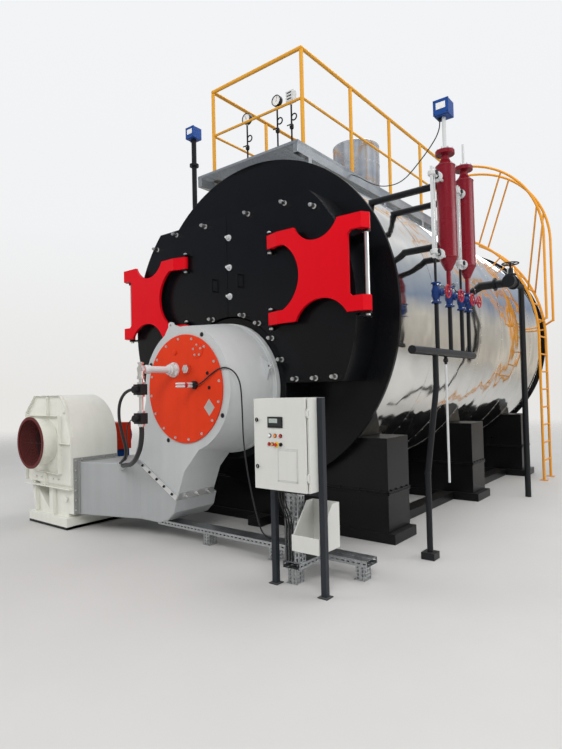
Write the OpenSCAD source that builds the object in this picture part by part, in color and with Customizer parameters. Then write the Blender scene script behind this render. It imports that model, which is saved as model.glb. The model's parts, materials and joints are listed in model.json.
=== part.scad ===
// Industrial fire-tube boiler with its burner, fan, walkway, ladder and control stand.
// The origin lies on the floor under the shell axis, in the plane behind the front end plate.
// X points right as seen from the front, Y to the back and Z up.

/* [Shell] */
// Outside radius of the polished shell
shell_r = 1755; // [1700:5:1775]
// Wall of the shell with its lagging
shell_wall = 120; // [60:5:200]
// Length of the shell between its end plates
shell_len = 5560; // [5500:20:6400]
// Height of the shell axis above the floor
axis_z = 2260; // [2230:10:2400]
// Lip of the two end plates outside the shell
plate_lip = 45; // [35:5:60]
// Thickness of an end plate
plate_t = 40; // [20:5:60]
// Gap left between curved pieces that seat on each other
fit = 0.3; // [0.2:0.05:0.4]

/* [Smokebox and doors] */
// Radius of the smokebox side walls
box_r = 1575; // [1550:5:1600]
// Height of the smokebox top above the shell axis
box_up = 1130; // [1100:5:1150]
// Depth of the smokebox bottom below the shell axis
box_down = 690; // [670:5:710]
// Depth of the smokebox in front of the end plate
box_depth = 375; // [340:5:420]
// Wall of the smokebox
box_wall = 20; // [12:2:30]
// Width of the seat round each door opening
seat_w = 90; // [60:5:120]
// Thickness of a door leaf
leaf_t = 20; // [12:2:30]
// Gap between a leaf and what it closes on
leaf_gap = 5; // [5:0.5:8]
// Radius of the arch over the burner mouth
arch_r = 760; // [750:5:780]
// Height of the arch centre below the shell axis
arch_drop = 725; // [715:5:730]

/* [Hinge arms] */
// Distance of each outer hinge rod from the smokebox side
rod_off = 115; // [105:1:145]
// Distance of each inner pin from the middle
pin_x = 622; // [600:1:650]
// Radius of an outer hinge rod
rod_r = 20; // [15:1:25]
// Radius of an inner pin
pin_r = 14; // [10:1:18]
// Thickness of the red arm plate
arm_t = 30; // [20:1:40]
// Radius of the ears round the rods
ear_r = 36; // [32:1:40]
// Running clearance of the ears on rods and pins
hinge_play = 0.1; // [0.05:0.01:0.1]
// Thickness of the hinge lugs
lug_t = 22; // [15:1:30]

/* [Burner] */
// Drop of the burner axis below the shell axis
burner_drop = 725; // [720:5:730]
// Radius of the grey neck flange behind the burner housing
neck_r = 680; // [660:5:700]
// Radius of the burner housing at its front
housing_r = 617; // [600:1:625]
// Radius of the burner housing at its back
rim_r = 678; // [660:1:690]
// Front face of the burner housing, in front of the end plate
housing_front = 1000; // [950:10:1050]
// Radius of the orange burner cover
cover_r = 533; // [480:1:550]
// Thickness of the burner cover
cover_t = 16; // [10:1:25]
// Length of the gas lance in front of the cover
lance_len = 375; // [300:5:450]

/* [Fan and duct] */
// Middle of the fan left of the shell axis
fan_x = 2100; // [2080:5:2150]
// Height of the fan axis
fan_z = 960; // [950:5:980]
// Radius of the fan scroll
fan_r = 540; // [520:5:560]
// Front face of the fan scroll, in front of the end plate
fan_front = 1290; // [1250:5:1330]
// Width of the fan scroll along its axis
fan_w = 560; // [520:5:600]
// Radius of the air inlet ring
inlet_r = 285; // [250:5:300]
// Length of the air inlet cone
inlet_len = 190; // [150:5:220]
// Height of the air duct
duct_h = 580; // [540:5:600]
// Height of the duct floor above ground
duct_z = 170; // [150:5:200]

/* [Base] */
// Half width of the saddles
saddle_half = 1550; // [1500:10:1580]
// Length of a saddle along the shell
saddle_len = 460; // [400:10:500]
// Top of the saddles above the floor
saddle_top = 1010; // [950:10:1050]
// Height of the base frame
base_h = 100; // [80:5:120]

/* [Walkway] */
// Half width of the walkway
deck_half = 750; // [720:5:800]
// Distance that the walkway ends short of the shell's back end
deck_short = 650; // [500:10:700]
// Height of the guard rail above the deck
rail_h = 1100; // [1000:10:1200]
// Radius of a guard rail tube
rail_r = 22; // [18:1:26]
// Spacing of the guard rail posts
post_pitch = 1015; // [950:5:1100]

/* [Ladder] */
// Clearance of the ladder stiles from the shell
ladder_off = 175; // [150:5:200]
// Distance between the ladder stiles
ladder_w = 450; // [400:10:480]
// Spacing of the rungs
rung_pitch = 280; // [250:10:300]
// Radius of the curved hand rails at their top
grip_r = 1430; // [1420:5:1440]

/* [Water columns] */
// Distance of the water columns from the shell's side
column_off = 345; // [305:5:395]
// Radius of a water column
column_r = 90; // [75:5:100]
// Length of the water column body
column_len = 880; // [800:10:950]
// Distance between the two water columns
column_pitch = 500; // [460:10:540]

/* [Control stand] */
// Width of the control cabinet
cabinet_w = 500; // [450:10:560]
// Height of the control cabinet
cabinet_h = 680; // [600:10:700]
// Depth of the control cabinet
cabinet_d = 205; // [160:5:220]
// Height of the cabinet bottom above the floor
cabinet_z = 760; // [700:10:800]
// Side of a stand post
post_w = 45; // [35:1:55]

/* [Hidden] */
$fn = 64;
over = 1;
plate_r = shell_r + plate_lip;
rod_x = box_r + rod_off;
deck_len = plate_t + shell_len - deck_short;
column_x = shell_r + column_off;
leaf_back = box_depth + leaf_gap;
leaf_front = leaf_back + leaf_t;
pin_y = leaf_front + 34;
arm_back = leaf_front + 70;
arm_front = arm_back + arm_t;
rod_y = leaf_front - 9;
arch_z = axis_z - arch_drop;
burner_z = axis_z - burner_drop;
neck_front = leaf_front + 45;
shell_top = axis_z + shell_r;
deck_z = axis_z + plate_r + 10;
deck_t = 30;
beam_h = 100;
rear_y = shell_len + 2 * plate_t;
ladder_r = shell_r + ladder_off;
ladder_y = deck_len - 350;
outlet_y = 2400;
outlet_r = 340;
column_y = 440;
column_base = axis_z + 460;
cab_x0 = 1265;
cab_x1 = cab_x0 + cabinet_w;
cab_front = 1430;
cab_back = cab_front - cabinet_d;
door_t = 18;
door_back = cab_front + 5;
hinge_x = cab_x1 - 4;
hinge_y = door_back + 9;
hinge_zs = [cabinet_z + 90, cabinet_z + cabinet_h - 130];

// Height of a circle of radius r about the shell axis, at the distance x from the middle
function rise(r, x) = axis_z + sqrt(r * r - x * x);

// Front outline of the smokebox, drawn in by the distance g
module front_outline(g) {
    intersection() {
        circle(r = box_r - g, $fn = 240);
        translate([-box_r, g - box_down])
            square([2 * box_r, box_up + box_down - 2 * g]);
    }
}

// A flat shape drawn in X and height, from the depth y0 to the depth y1
module slab(y0, y1) {
    translate([0, y1, 0])
        rotate([90, 0, 0])
            linear_extrude(y1 - y0)
                children();
}

module block(x0, x1, y0, y1, z0, z1) {
    translate([x0, y0, z0])
        cube([x1 - x0, y1 - y0, z1 - z0]);
}

module ycyl(x, z, r, y0, y1) {
    translate([x, y1, z])
        rotate([90, 0, 0])
            cylinder(h = y1 - y0, r = r, $fn = r > 1000 ? 320 : 64);
}

module xcyl(y, z, r, x0, x1) {
    translate([x0, y, z])
        rotate([0, 90, 0])
            cylinder(h = x1 - x0, r = r);
}

module zcyl(x, y, r, z0, z1) {
    translate([x, y, z0])
        cylinder(h = z1 - z0, r = r);
}

// A round bar between two points
module bar(p, q, r) {
    v = q - p;
    l = norm(v);
    translate(p)
        rotate([0, acos(v[2] / l), atan2(v[1], v[0])])
            cylinder(h = l, r = r);
}

// A pipe through a list of points, with ball corners
module pipe(pts, r) {
    for (i = [0:len(pts) - 2])
        bar(pts[i], pts[i + 1], r);
    if (len(pts) > 2)
        for (i = [1:len(pts) - 2])
            translate(pts[i])
                sphere(r = r + 4);
}

// An arc of round bar in the plane of X and height
module arc_bar(x, y, z, big, r, a0, a1) {
    translate([x, y, z])
        rotate([90, 0, 0])
            rotate([0, 0, a0])
                rotate_extrude(angle = a1 - a0)
                    translate([big, 0])
                        circle(r = r);
}

module shell() {
    color("silver")
        difference() {
            ycyl(0, axis_z, shell_r, plate_t, plate_t + shell_len);
            ycyl(0, axis_z, shell_r - shell_wall, plate_t - over, plate_t + shell_len + over);
        }
}

module front_plate() {
    color("#16171a")
        ycyl(0, axis_z, plate_r, 0, plate_t);
}

module rear_plate() {
    color("#16171a")
        ycyl(0, axis_z, plate_r, plate_t + shell_len, rear_y);
}

// Plain closed box on the back, the same outline as the front one
module rear_cover() {
    color("#1b1c1f")
        translate([0, 0, axis_z])
            slab(rear_y, rear_y + 220)
                front_outline(0);
}

module tube_plate() {
    color("#4a4643")
        difference() {
            translate([0, 0, axis_z])
                slab(-25, 0)
                    front_outline(box_wall + 4);
            ycyl(0, arch_z, arch_r + box_wall + 4, -30, over);
        }
}

module smokebox() {
    color("#16171a")
        difference() {
            translate([0, 0, axis_z])
                slab(-box_depth, 0)
                    front_outline(0);
            difference() {
                translate([0, 0, axis_z])
                    slab(box_wall - box_depth, over)
                        front_outline(box_wall);
                ycyl(0, arch_z, arch_r + box_wall, -box_depth, 2 * over);
            }
            difference() {
                translate([0, 0, axis_z])
                    slab(-box_depth - over, box_wall - box_depth + over)
                        front_outline(seat_w);
                ycyl(0, arch_z, arch_r + seat_w, -box_depth - 2 * over, 0);
                block(-seat_w / 2, seat_w / 2, -box_depth - 2 * over, 0, arch_z, axis_z + box_up);
            }
            ycyl(0, arch_z, arch_r, -box_depth - over, over);
        }
}

// Levels of the ears above the shell axis: outer and inner, low and high
outer_ears = [[-85, 50], [634, 770]];
inner_ears = [[-117, 8], [641, 778]];

// Right leaf with the lugs and pins that the inner ears turn on
module leaf() {
    difference() {
        translate([0, 0, axis_z])
            slab(-leaf_front, -leaf_back)
                front_outline(0);
        block(-2 * box_r, leaf_gap / 2, -leaf_front - over, -leaf_back + over, 0, axis_z + 2 * box_r);
        ycyl(0, arch_z, arch_r, -leaf_front - over, -leaf_back + over);
    }
    for (e = inner_ears) {
        for (z = [axis_z + e[0] - 2 - lug_t, axis_z + e[1] + 2])
            difference() {
                block(pin_x - 32, pin_x + 32, -pin_y - 30, -leaf_front, z, z + lug_t);
                zcyl(pin_x, -pin_y, pin_r, z - over, z + lug_t + over);
            }
        zcyl(pin_x, -pin_y, pin_r, axis_z + e[0] - 2 - lug_t, axis_z + e[1] + 2 + lug_t);
    }
    grip(190, axis_z + 330);
}

// Small grip bar with two feet
module grip(x, z) {
    for (dz = [0, 130])
        ycyl(x, z + dz, 7, -leaf_front - 45, -leaf_front);
    zcyl(x, -leaf_front - 45, 7, z - 7, z + 137);
}

module door_right() {
    color("#1d1e21")
        leaf();
}

module door_left() {
    color("#1d1e21")
        mirror([1, 0, 0])
            leaf();
}

// Red arm plate seen from the front, on the right side
module arm_shape() {
    edge = rod_x - 130;
    difference() {
        polygon([
            [plate_x, inner_ears[0][0]], [920, inner_ears[0][0]], [1440, outer_ears[0][0]], [rod_x, outer_ears[0][0]],
            [rod_x, outer_ears[0][1]], [edge + 30, outer_ears[0][1]], [edge, outer_ears[0][1] + 30],
            [edge, outer_ears[1][0] - 30], [edge + 30, outer_ears[1][0]], [rod_x, outer_ears[1][0]],
            [rod_x, outer_ears[1][1]], [plate_x, inner_ears[1][1]]
        ]);
        intersection() {
            translate([657, 330])
                circle(r = 360);
            translate([0, inner_ears[0][1]])
                square([edge, inner_ears[1][0] - inner_ears[0][1]]);
        }
        translate([1215, 884])
            circle(r = 266);
        translate([1262, -249])
            circle(r = 320);
    }
}

plate_x = 755;

// The ears bend back from the plate to the rod and to the pin
module outer_ear_plan() {
    translate([rod_x, -rod_y])
        circle(r = ear_r);
    polygon([
        [rod_x - 50, -arm_front], [rod_x + 12, -arm_front], [rod_x + 58, -rod_y - 40], [rod_x + 52, -rod_y - 24],
        [rod_x + 10, -rod_y], [rod_x - 10, -rod_y], [rod_x - 50, -arm_back]
    ]);
}

module inner_ear_plan() {
    translate([pin_x, -pin_y])
        circle(r = 28);
    polygon([
        [plate_x + 10, -arm_front], [plate_x + 10, -arm_back],
        [pin_x + 12, -pin_y + 22], [pin_x - 12, -pin_y - 22]
    ]);
}

module arm() {
    difference() {
        union() {
            translate([0, 0, axis_z])
                slab(-arm_front, -arm_back)
                    arm_shape();
            for (e = outer_ears)
                translate([0, 0, axis_z + e[0]])
                    linear_extrude(e[1] - e[0])
                        outer_ear_plan();
            for (e = inner_ears)
                translate([0, 0, axis_z + e[0]])
                    linear_extrude(e[1] - e[0])
                        inner_ear_plan();
        }
        for (e = outer_ears)
            zcyl(rod_x, -rod_y, rod_r + hinge_play, axis_z + e[0] - over, axis_z + e[1] + over);
        for (e = inner_ears)
            zcyl(pin_x, -pin_y, pin_r + hinge_play, axis_z + e[0] - over, axis_z + e[1] + over);
    }
}

module arm_right() {
    color("#c8141c")
        arm();
}

module arm_left() {
    color("#c8141c")
        mirror([1, 0, 0])
            arm();
}

// Outer rods, each standing in two lugs on the smokebox wall under the ears
module hinge_side() {
    lug_zs = [for (e = outer_ears) axis_z + e[0] - 2 - lug_t];
    zcyl(rod_x, -rod_y, rod_r, lug_zs[0] - 15, axis_z + outer_ears[1][1] + 15);
    difference() {
        for (z = lug_zs)
            translate([0, 0, z])
                linear_extrude(lug_t) {
                    polygon([
                        [box_r - 220, 60 - box_depth], [box_r - 220, 260 - box_depth], [box_r, 260 - box_depth],
                        [rod_x + ear_r, -rod_y], [rod_x - ear_r, -rod_y]
                    ]);
                    translate([rod_x, -rod_y])
                        circle(r = ear_r);
                }
        translate([0, 0, axis_z])
            slab(-box_depth - 60, over)
                front_outline(-fit);
    }
}

module hinge_rods() {
    color("silver") {
        hinge_side();
        mirror([1, 0, 0])
            hinge_side();
    }
}

module burner_mouth() {
    color("#101114")
        difference() {
            ycyl(0, arch_z, arch_r - 12, -leaf_back, 0);
            ycyl(0, burner_z, neck_r - 120, -leaf_back - over, -40);
        }
}

module burner_neck() {
    color("#8e9192")
        difference() {
            union() {
                ycyl(0, burner_z, neck_r, -neck_front, -leaf_back);
                ycyl(0, burner_z, neck_r - 35, -neck_front - 60, -neck_front);
            }
            ycyl(0, burner_z, neck_r - 120, -neck_front - 80, -leaf_back + over);
        }
}

// Middle of the burner, and the two ends of the slanted flange at the foot of its scroll
burner_x = -32;
foot_high = [-852, -731];
foot_low = [-179, -1101];

// Foot of the scroll seen from the front
module volute_foot() {
    polygon([
        [-560, 180], [-668, -200], [-750, -440], foot_high, foot_low,
        [-58, -814], [200, -540], [500, -240], [500, 100]
    ]);
}

// Rounded tab that stands out of a rim of radius r, with its hole
module lug_shape(r) {
    difference() {
        union() {
            translate([r + 54, 0])
                circle(r = 34);
            polygon([
                [r - 60, -120], [r - 12, -120], [r + 54, -30],
                [r + 54, 30], [r - 12, 120], [r - 60, 120]
            ]);
        }
        translate([r + 54, 0])
            circle(r = 13);
    }
}

module burner_housing() {
    back = neck_front + 60;
    color("#b4b7b8")
        difference() {
            union() {
                translate([burner_x, -back, burner_z])
                    rotate([90, 0, 0])
                        cylinder(h = housing_front - back, r1 = rim_r, r2 = housing_r, $fn = 160);
                translate([0, 0, burner_z])
                    slab(-housing_front, -back)
                        volute_foot();
                translate([burner_x, 0, burner_z])
                    rotate([0, -107, 0])
                        slab(-housing_front, 25 - housing_front)
                            lug_shape(housing_r);
                translate([burner_x, 0, burner_z])
                    rotate([0, -16, 0])
                        slab(-back - 45, -back - 20)
                            lug_shape(rim_r);
            }
            ycyl(burner_x, burner_z, cover_r - 60, -housing_front - over, -neck_front);
        }
}

module burner_cover() {
    color("#e8461c")
        ycyl(burner_x, burner_z, cover_r, -housing_front - cover_t, -housing_front);
}

module sight_plug() {
    color("#9aa0a0")
        translate([43, -housing_front - cover_t, burner_z + 190])
            rotate([90, 0, 0])
                cylinder(h = 45, r = 45, $fn = 6);
}

lance_x = -160;
lance_z = burner_z + 190;
lance_end = housing_front + cover_t + lance_len;

module gas_lance() {
    color("#d9d9d4") {
        ycyl(lance_x, lance_z, 75, -housing_front - cover_t - 30, -housing_front - cover_t);
        ycyl(lance_x, lance_z, 55, -housing_front - cover_t - 70, -housing_front - cover_t);
        ycyl(lance_x, lance_z, 32, -lance_end, -housing_front - cover_t);
    }
}

module igniter() {
    color("#26262a")
        ycyl(138, burner_z + 33, 40, -housing_front - cover_t - 40, -housing_front - cover_t);
    color("#e6e6e2")
        ycyl(138, burner_z + 33, 24, -housing_front - cover_t - 210, -housing_front - cover_t);
}

// Shut-off valves and the gas pipe that drops from the lance
module gas_valves() {
    color("#202124") {
        pipe([
            [lance_x, -lance_end, lance_z], [lance_x, -lance_end - 60, lance_z],
            [lance_x, -lance_end - 60, burner_z - 500], [-700, 100 - fan_front, duct_z + duct_h + 30]
        ], 26);
        for (z = [burner_z - 60, burner_z - 330])
            block(lance_x - 60, lance_x + 60, -lance_end - 130, -lance_end + 10, z, z + 120);
    }
}

module air_duct() {
    color("#9b9fa0")
        intersection() {
            slab(-fan_front - 20, -leaf_front - 30)
                polygon([
                    [fan_r - fan_x, duct_z], [-470, duct_z], [-320, duct_z + 40], [-220, duct_z + 130],
                    foot_low + [0, burner_z], foot_high + [0, burner_z],
                    [-930, duct_z + duct_h], [fan_r - fan_x, duct_z + duct_h]
                ]);
            linear_extrude(axis_z)
                polygon([
                    [-3000, -fan_front], [fan_r - fan_x, -fan_front + 30], [-750, -housing_front],
                    [0, -housing_front], [0, -neck_front], [-3000, -neck_front]
                ]);
        }
}

// Fan scroll with its octagonal front sheet, the stand starts under it
module fan_scroll() {
    color("#e6e2d0")
        difference() {
            union() {
                ycyl(-fan_x, fan_z, fan_r, -fan_front, fan_w - fan_front);
                slab(-fan_front, fan_w - fan_front)
                    polygon([
                        [-fan_x, duct_z], [fan_r - fan_x, duct_z],
                        [fan_r - fan_x, fan_z], [-fan_x, fan_z]
                    ]);
                slab(-fan_front - 12, -fan_front)
                    polygon([
                        [-fan_x - 480, fan_z - 480], [fan_r - fan_x, fan_z - 480], [fan_r - fan_x, fan_z + 60],
                        [fan_r - fan_x - 120, fan_z + 420], [fan_r - fan_x - 220, fan_z + fan_r],
                        [-fan_x - 260, fan_z + fan_r], [-fan_x - 480, fan_z + 330]
                    ]);
            }
            ycyl(-fan_x - 30, fan_z, inlet_r - 40, -fan_front - 50, -fan_front + fan_w - 60);
        }
}

module fan_inlet() {
    color("#e6e2d0")
        difference() {
            translate([-fan_x - 30, -fan_front - 12, fan_z])
                rotate([90, 0, 0])
                    cylinder(h = inlet_len, r1 = inlet_r - 30, r2 = inlet_r);
            translate([-fan_x - 30, -fan_front - 11, fan_z])
                rotate([90, 0, 0])
                    cylinder(h = inlet_len + 2, r1 = inlet_r - 38, r2 = inlet_r - 8);
        }
}

module inlet_ring() {
    color("#6e1a20")
        difference() {
            ycyl(-fan_x - 30, fan_z, inlet_r + 12, -fan_front - inlet_len - 24, -fan_front - inlet_len - 12);
            ycyl(-fan_x - 30, fan_z, inlet_r - 22, -fan_front - inlet_len - 30, 0);
        }
}

// Ribbed stand under the fan, on a channel and two rubber feet
module fan_stand() {
    stand_z = base_h + 30;
    color("#e6e2d0") {
        difference() {
            slab(-fan_front, fan_w - fan_front)
                polygon([
                    [-fan_x - 330, stand_z], [fan_r - fan_x - 120, stand_z],
                    [fan_r - fan_x - 120, duct_z], [-fan_x - 0, duct_z], [-fan_x - 420, fan_z - 400]
                ]);
            ycyl(-fan_x, fan_z, fan_r + fit, -fan_front - over, fan_w - fan_front + over);
            block(-fan_x, 0, -fan_front - over, fan_w - fan_front + over, duct_z, fan_z);
        }
        block(-fan_x - 360, fan_r - fan_x - 60, -fan_front - 60, fan_w - fan_front + 500, 30, stand_z);
    }
    color("#1a1a1c")
        for (y = [-fan_front - 60, fan_w - fan_front + 420])
            block(-fan_x - 360, fan_r - fan_x - 60, y, y + 80, 0, 30);
}

module shaft_guard() {
    color("#dd4a1e")
        block(-fan_x - 90, -fan_x + 90, fan_w - fan_front, fan_w - fan_front + 180, fan_z - 120, fan_z + 100);
}

module fan_motor() {
    y0 = fan_w - fan_front + 180;
    color("#1f4fa0") {
        ycyl(-fan_x, fan_z, 160, y0, y0 + 320);
        block(-fan_x - 130, -fan_x + 130, y0 + 20, y0 + 300, base_h + 30, fan_z);
    }
}

saddle_first = plate_t + 110;
saddle_last = plate_t + shell_len - 750;
saddle_ys = [saddle_first, (saddle_first + saddle_last) / 2, saddle_last];

module saddles() {
    color("#141518")
        difference() {
            for (y = saddle_ys)
                block(-saddle_half, saddle_half, y, y + saddle_len, base_h, saddle_top);
            ycyl(0, axis_z, shell_r + fit, 0, rear_y);
        }
}

// Wide pads under the saddles
module base_pads() {
    color("#141518")
        for (y = saddle_ys)
            block(-saddle_half - 65, saddle_half + 65, y - 10, y + saddle_len + 10, 0, base_h);
}

// Long beams between the pads, with a towing stub at the front
module base_beams() {
    color("#141518") {
        for (i = [0:1])
            for (x = [-1200, 0, 1200])
                block(x - 90, x + 90, saddle_ys[i] + saddle_len + 10, saddle_ys[i + 1] - 10, 0, base_h);
        block(-90, 90, -60, saddle_ys[0] - 10, 0, base_h);
    }
}

module walkway_deck() {
    color("#8f9396")
        difference() {
            block(-deck_half, deck_half, -100, deck_len, deck_z, deck_z + deck_t);
            zcyl(0, outlet_y, outlet_r + 25, deck_z - over, deck_z + deck_t + over);
        }
}

module walkway_beams() {
    color("#b9bcbe")
        difference() {
            union() {
                for (x = [-deck_half, deck_half - 60])
                    block(x, x + 60, -100, deck_len, deck_z - beam_h, deck_z);
                for (y = [plate_t + 60, outlet_y - 600, outlet_y + 600, deck_len - 160])
                    for (x = [-deck_half, deck_half - 60])
                        block(x, x + 60, y, y + 60, axis_z, deck_z - beam_h);
            }
            ycyl(0, axis_z, shell_r + fit, plate_t, deck_len + 200);
        }
}

posts = floor((deck_len - 200) / post_pitch) + 1;
rail_x = deck_half - 75;

rail_y = 110;
rail_z = deck_z + deck_t;
rail_zs = [rail_z + 0.5 * rail_h, rail_z + rail_h];
rail_end = rail_y + (posts - 1) * post_pitch;

knee_r = 0.68 * rail_r;

// Posts on foot plates, under the top rail
module rail_posts() {
    color("#e8a412")
        for (x = [-rail_x, rail_x])
            for (i = [0:posts - 1]) {
                y = rail_y + i * post_pitch;
                zcyl(x, y, rail_r, rail_z, rail_zs[1] - rail_r - fit - (i == 0 ? 1 : 0));
                block(x - 50, x + 50, y - 50, y + 50, rail_z, rail_z + 8);
            }
}

// Top rail round three sides, and the thinner knee rails between the posts
module guard_rails() {
    color("#e8a412") {
        for (x = [-rail_x, rail_x]) {
            ycyl(x, rail_zs[1], rail_r, rail_y, rail_end + rail_r);
            translate([x, rail_y, rail_zs[1]])
                sphere(r = rail_r + 1);
        }
        xcyl(rail_y, rail_zs[1], rail_r, -rail_x, rail_x);
        difference() {
            union() {
                for (x = [-rail_x, rail_x])
                    ycyl(x, rail_zs[0], knee_r, rail_y, rail_end);
                xcyl(rail_y, rail_zs[0], knee_r, -rail_x, rail_x);
            }
            for (x = [-rail_x, rail_x])
                for (i = [0:posts - 1])
                    zcyl(x, rail_y + i * post_pitch, rail_r + fit, rail_zs[0] - 50, rail_zs[0] + 50);
        }
    }
}

rung_zs = [for (z = [300:rung_pitch:axis_z]) z];
rung_angles = [8:8:56];
ladder_ys = [ladder_y, ladder_y + ladder_w];

module ladder_stiles() {
    color("#e8901a")
        for (y = ladder_ys) {
            arc_bar(0, y, axis_z, ladder_r, 20, 0, 62);
            zcyl(ladder_r, y, 20, 0, axis_z);
            block(ladder_r - 60, ladder_r + 60, y - 40, y + 40, 0, 10);
            for (a = [4, 44])
                bar(
                    [(shell_r + fit) * cos(a), y, axis_z + (shell_r + fit) * sin(a)],
                    [ladder_r * cos(a), y, axis_z + ladder_r * sin(a)], 12
                );
        }
}

// Round rungs between the two stiles
module ladder_rungs() {
    y0 = ladder_ys[0] + 20 + fit;
    y1 = ladder_ys[1] - 20 - fit;
    color("#e8901a") {
        for (z = rung_zs)
            ycyl(ladder_r, z, 13, y0, y1);
        for (a = rung_angles)
            ycyl(ladder_r * cos(a), axis_z + ladder_r * sin(a), 13, y0, y1);
    }
}

// Curved hand rails that rise from the stiles to the walkway rail
module ladder_rails() {
    hub_x = ladder_r - 1310;
    hub_z = axis_z + ladder_r - 350;
    x1 = hub_x + grip_r;
    color("#e8901a")
        difference() {
            for (y = ladder_ys) {
                arc_bar(hub_x, y, hub_z, grip_r, 20, 0, 88);
                zcyl(x1, y, 20, axis_z + 260, hub_z);
                bar([x1, y, axis_z + 280], [ladder_r * cos(6), y, axis_z + ladder_r * sin(6)], 16);
                for (a = [20, 55])
                    bar(
                        [hub_x + grip_r * cos(a), y, hub_z + grip_r * sin(a)],
                        [ladder_r * cos(a + 2), y, axis_z + ladder_r * sin(a + 2)], 14
                    );
            }
            ycyl(0, axis_z, ladder_r + 20 + fit, ladder_ys[0] - 60, ladder_ys[1] + 60);
        }
}

manifold_y = 300;
manifold_z = deck_z + 210;

// Place and height of the risers: two gauges and a pressure switch
risers = [[-292, 465], [179, 520], [384, 495]];

module gauge_manifold() {
    color("#1c1d20") {
        xcyl(manifold_y, manifold_z, 38, -340, 480);
        zcyl(100, manifold_y, 38, deck_z + deck_t, manifold_z);
        for (p = risers)
            zcyl(p[0], manifold_y, 10, manifold_z, manifold_z + p[1]);
    }
}

module pressure_gauges() {
    color("#22262a")
        for (p = [risers[0], risers[1]])
            translate([p[0], manifold_y, manifold_z + p[1] + 65])
                rotate([90, 0, 0])
                    translate([0, 0, -30])
                        cylinder(h = 55, r = 65);
}

module pressure_switches() {
    color("#dfe2e2")
        translate([risers[2][0] - 55, manifold_y - 35, manifold_z + risers[2][1]])
            cube([110, 70, 130]);
}

module outlet_stub() {
    color("#c4c8ca") {
        difference() {
            zcyl(0, outlet_y, outlet_r, axis_z + 0.6 * shell_r, deck_z + 1000);
            ycyl(0, axis_z, shell_r + fit, plate_t, shell_len);
        }
        zcyl(0, outlet_y, outlet_r + 16, deck_z + deck_t + 4, deck_z + deck_t + 40);
    }
}

module water_columns() {
    color("#a3121a")
        for (y = [column_y, column_y + column_pitch]) {
            zcyl(column_x, y, column_r, column_base, column_base + column_len);
            translate([column_x, y, column_base - 120])
                cylinder(h = 120, r1 = 32, r2 = column_r);
            zcyl(column_x, y, 22, column_base - 280, column_base - 120);
            translate([column_x, y, column_base + column_len])
                cylinder(h = 60, r1 = column_r, r2 = 40);
            zcyl(column_x, y, 40, column_base + column_len + 60, column_base + column_len + 110);
            zcyl(column_x, y, column_r, column_base + column_len + 110, column_base + column_len + 150);
        }
}

module level_glasses() {
    color("#e9ecec")
        for (y = [column_y - 320, column_y + column_pitch - 190]) {
            zcyl(column_x, y, 16, column_base - 60, column_base + 780);
            for (z = [column_base, column_base + 720])
                zcyl(column_x, y, 42, z - 25, z + 25);
            zcyl(column_x, y, 12, column_base - 280, column_base - 60);
        }
}

module level_transmitters() {
    z0 = column_base + column_len + 150;
    color("#e9ecec") {
        zcyl(column_x, column_y, 18, z0, z0 + 330);
        zcyl(column_x, column_y + column_pitch, 12, z0, z0 + 240);
    }
    color("#1e58b8")
        block(column_x - 75, column_x + 75, column_y - 75, column_y + 75, z0 + 330, z0 + 480);
}

module column_pipes() {
    color("#3a3c40")
        for (y = [column_y, column_y + column_pitch])
            for (z = [column_base + 130, column_base + 720])
                difference() {
                    xcyl(y, z, 34, 900, column_x);
                    ycyl(0, axis_z, shell_r + fit, 0, shell_len);
                    zcyl(column_x, y, column_r + fit, z - 60, z + 60);
                }
    color("#e9ecec")
        for (y = [column_y, column_y + column_pitch])
            for (z = [column_base, column_base + 720]) {
                g = y == column_y ? column_y - 320 : column_y + column_pitch - 190;
                difference() {
                    bar([column_x, y, z], [column_x, g, z], 14);
                    zcyl(column_x, y, column_r + fit, z - 60, z + 60);
                    zcyl(column_x, g, 42 + fit, z - 60, z + 60);
                }
            }
}

drain_ys = [column_y - 320, column_y, column_y + column_pitch - 190, column_y + column_pitch];
drain_z = column_base - 400;

module drain_valves() {
    color("#1d4f9e")
        for (y = drain_ys) {
            zcyl(column_x, y, 45, drain_z - 70, drain_z - 52);
            zcyl(column_x, y, 32, drain_z - 52, drain_z + 102);
            zcyl(column_x, y, 45, drain_z + 102, drain_z + 120);
            xcyl(y, drain_z + 25, 22, column_x, column_x + 110);
        }
}

module drain_wheels() {
    color("#b3161c")
        for (y = drain_ys)
            translate([column_x + 110, y, drain_z + 25])
                rotate([0, 90, 0])
                    difference() {
                        cylinder(h = 16, r = 62);
                        for (a = [0:120:240])
                            rotate([0, 0, a])
                                translate([34, 0, -over])
                                    cylinder(h = 20, r = 18);
                    }
}

header_z = axis_z - 450;

module drain_pipes() {
    color("#17181b") {
        for (y = drain_ys)
            zcyl(column_x, y, 20, header_z, drain_z - 70);
        ycyl(column_x, header_z, 36, -420, 1040);
        pipe([[column_x, 60, header_z], [column_x, 60, 1500], [column_x - 60, -40, 740], [column_x - 60, -40, 60]], 26);
        block(column_x - 120, column_x, -100, 20, 0, 60);
    }
}

feed_y = 2700;
feed_x = shell_r + 295;

module feed_valve() {
    color("#1b1c1f") {
        difference() {
            xcyl(feed_y, axis_z + 560, 55, 0.7 * shell_r, feed_x + 50);
            ycyl(0, axis_z, shell_r + fit, 0, shell_len);
        }
        ycyl(feed_x, axis_z + 560, 80, feed_y - 120, feed_y + 120);
        zcyl(feed_x, feed_y, 20, axis_z + 560, axis_z + 790);
        zcyl(feed_x, feed_y, 110, axis_z + 790, axis_z + 810);
    }
}

module feed_pipe() {
    color("#17181b")
        pipe([
            [feed_x, feed_y + 120, axis_z + 560], [feed_x, feed_y + 470, axis_z + 560], [feed_x, feed_y + 470, 0]
        ], 38);
}

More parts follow.
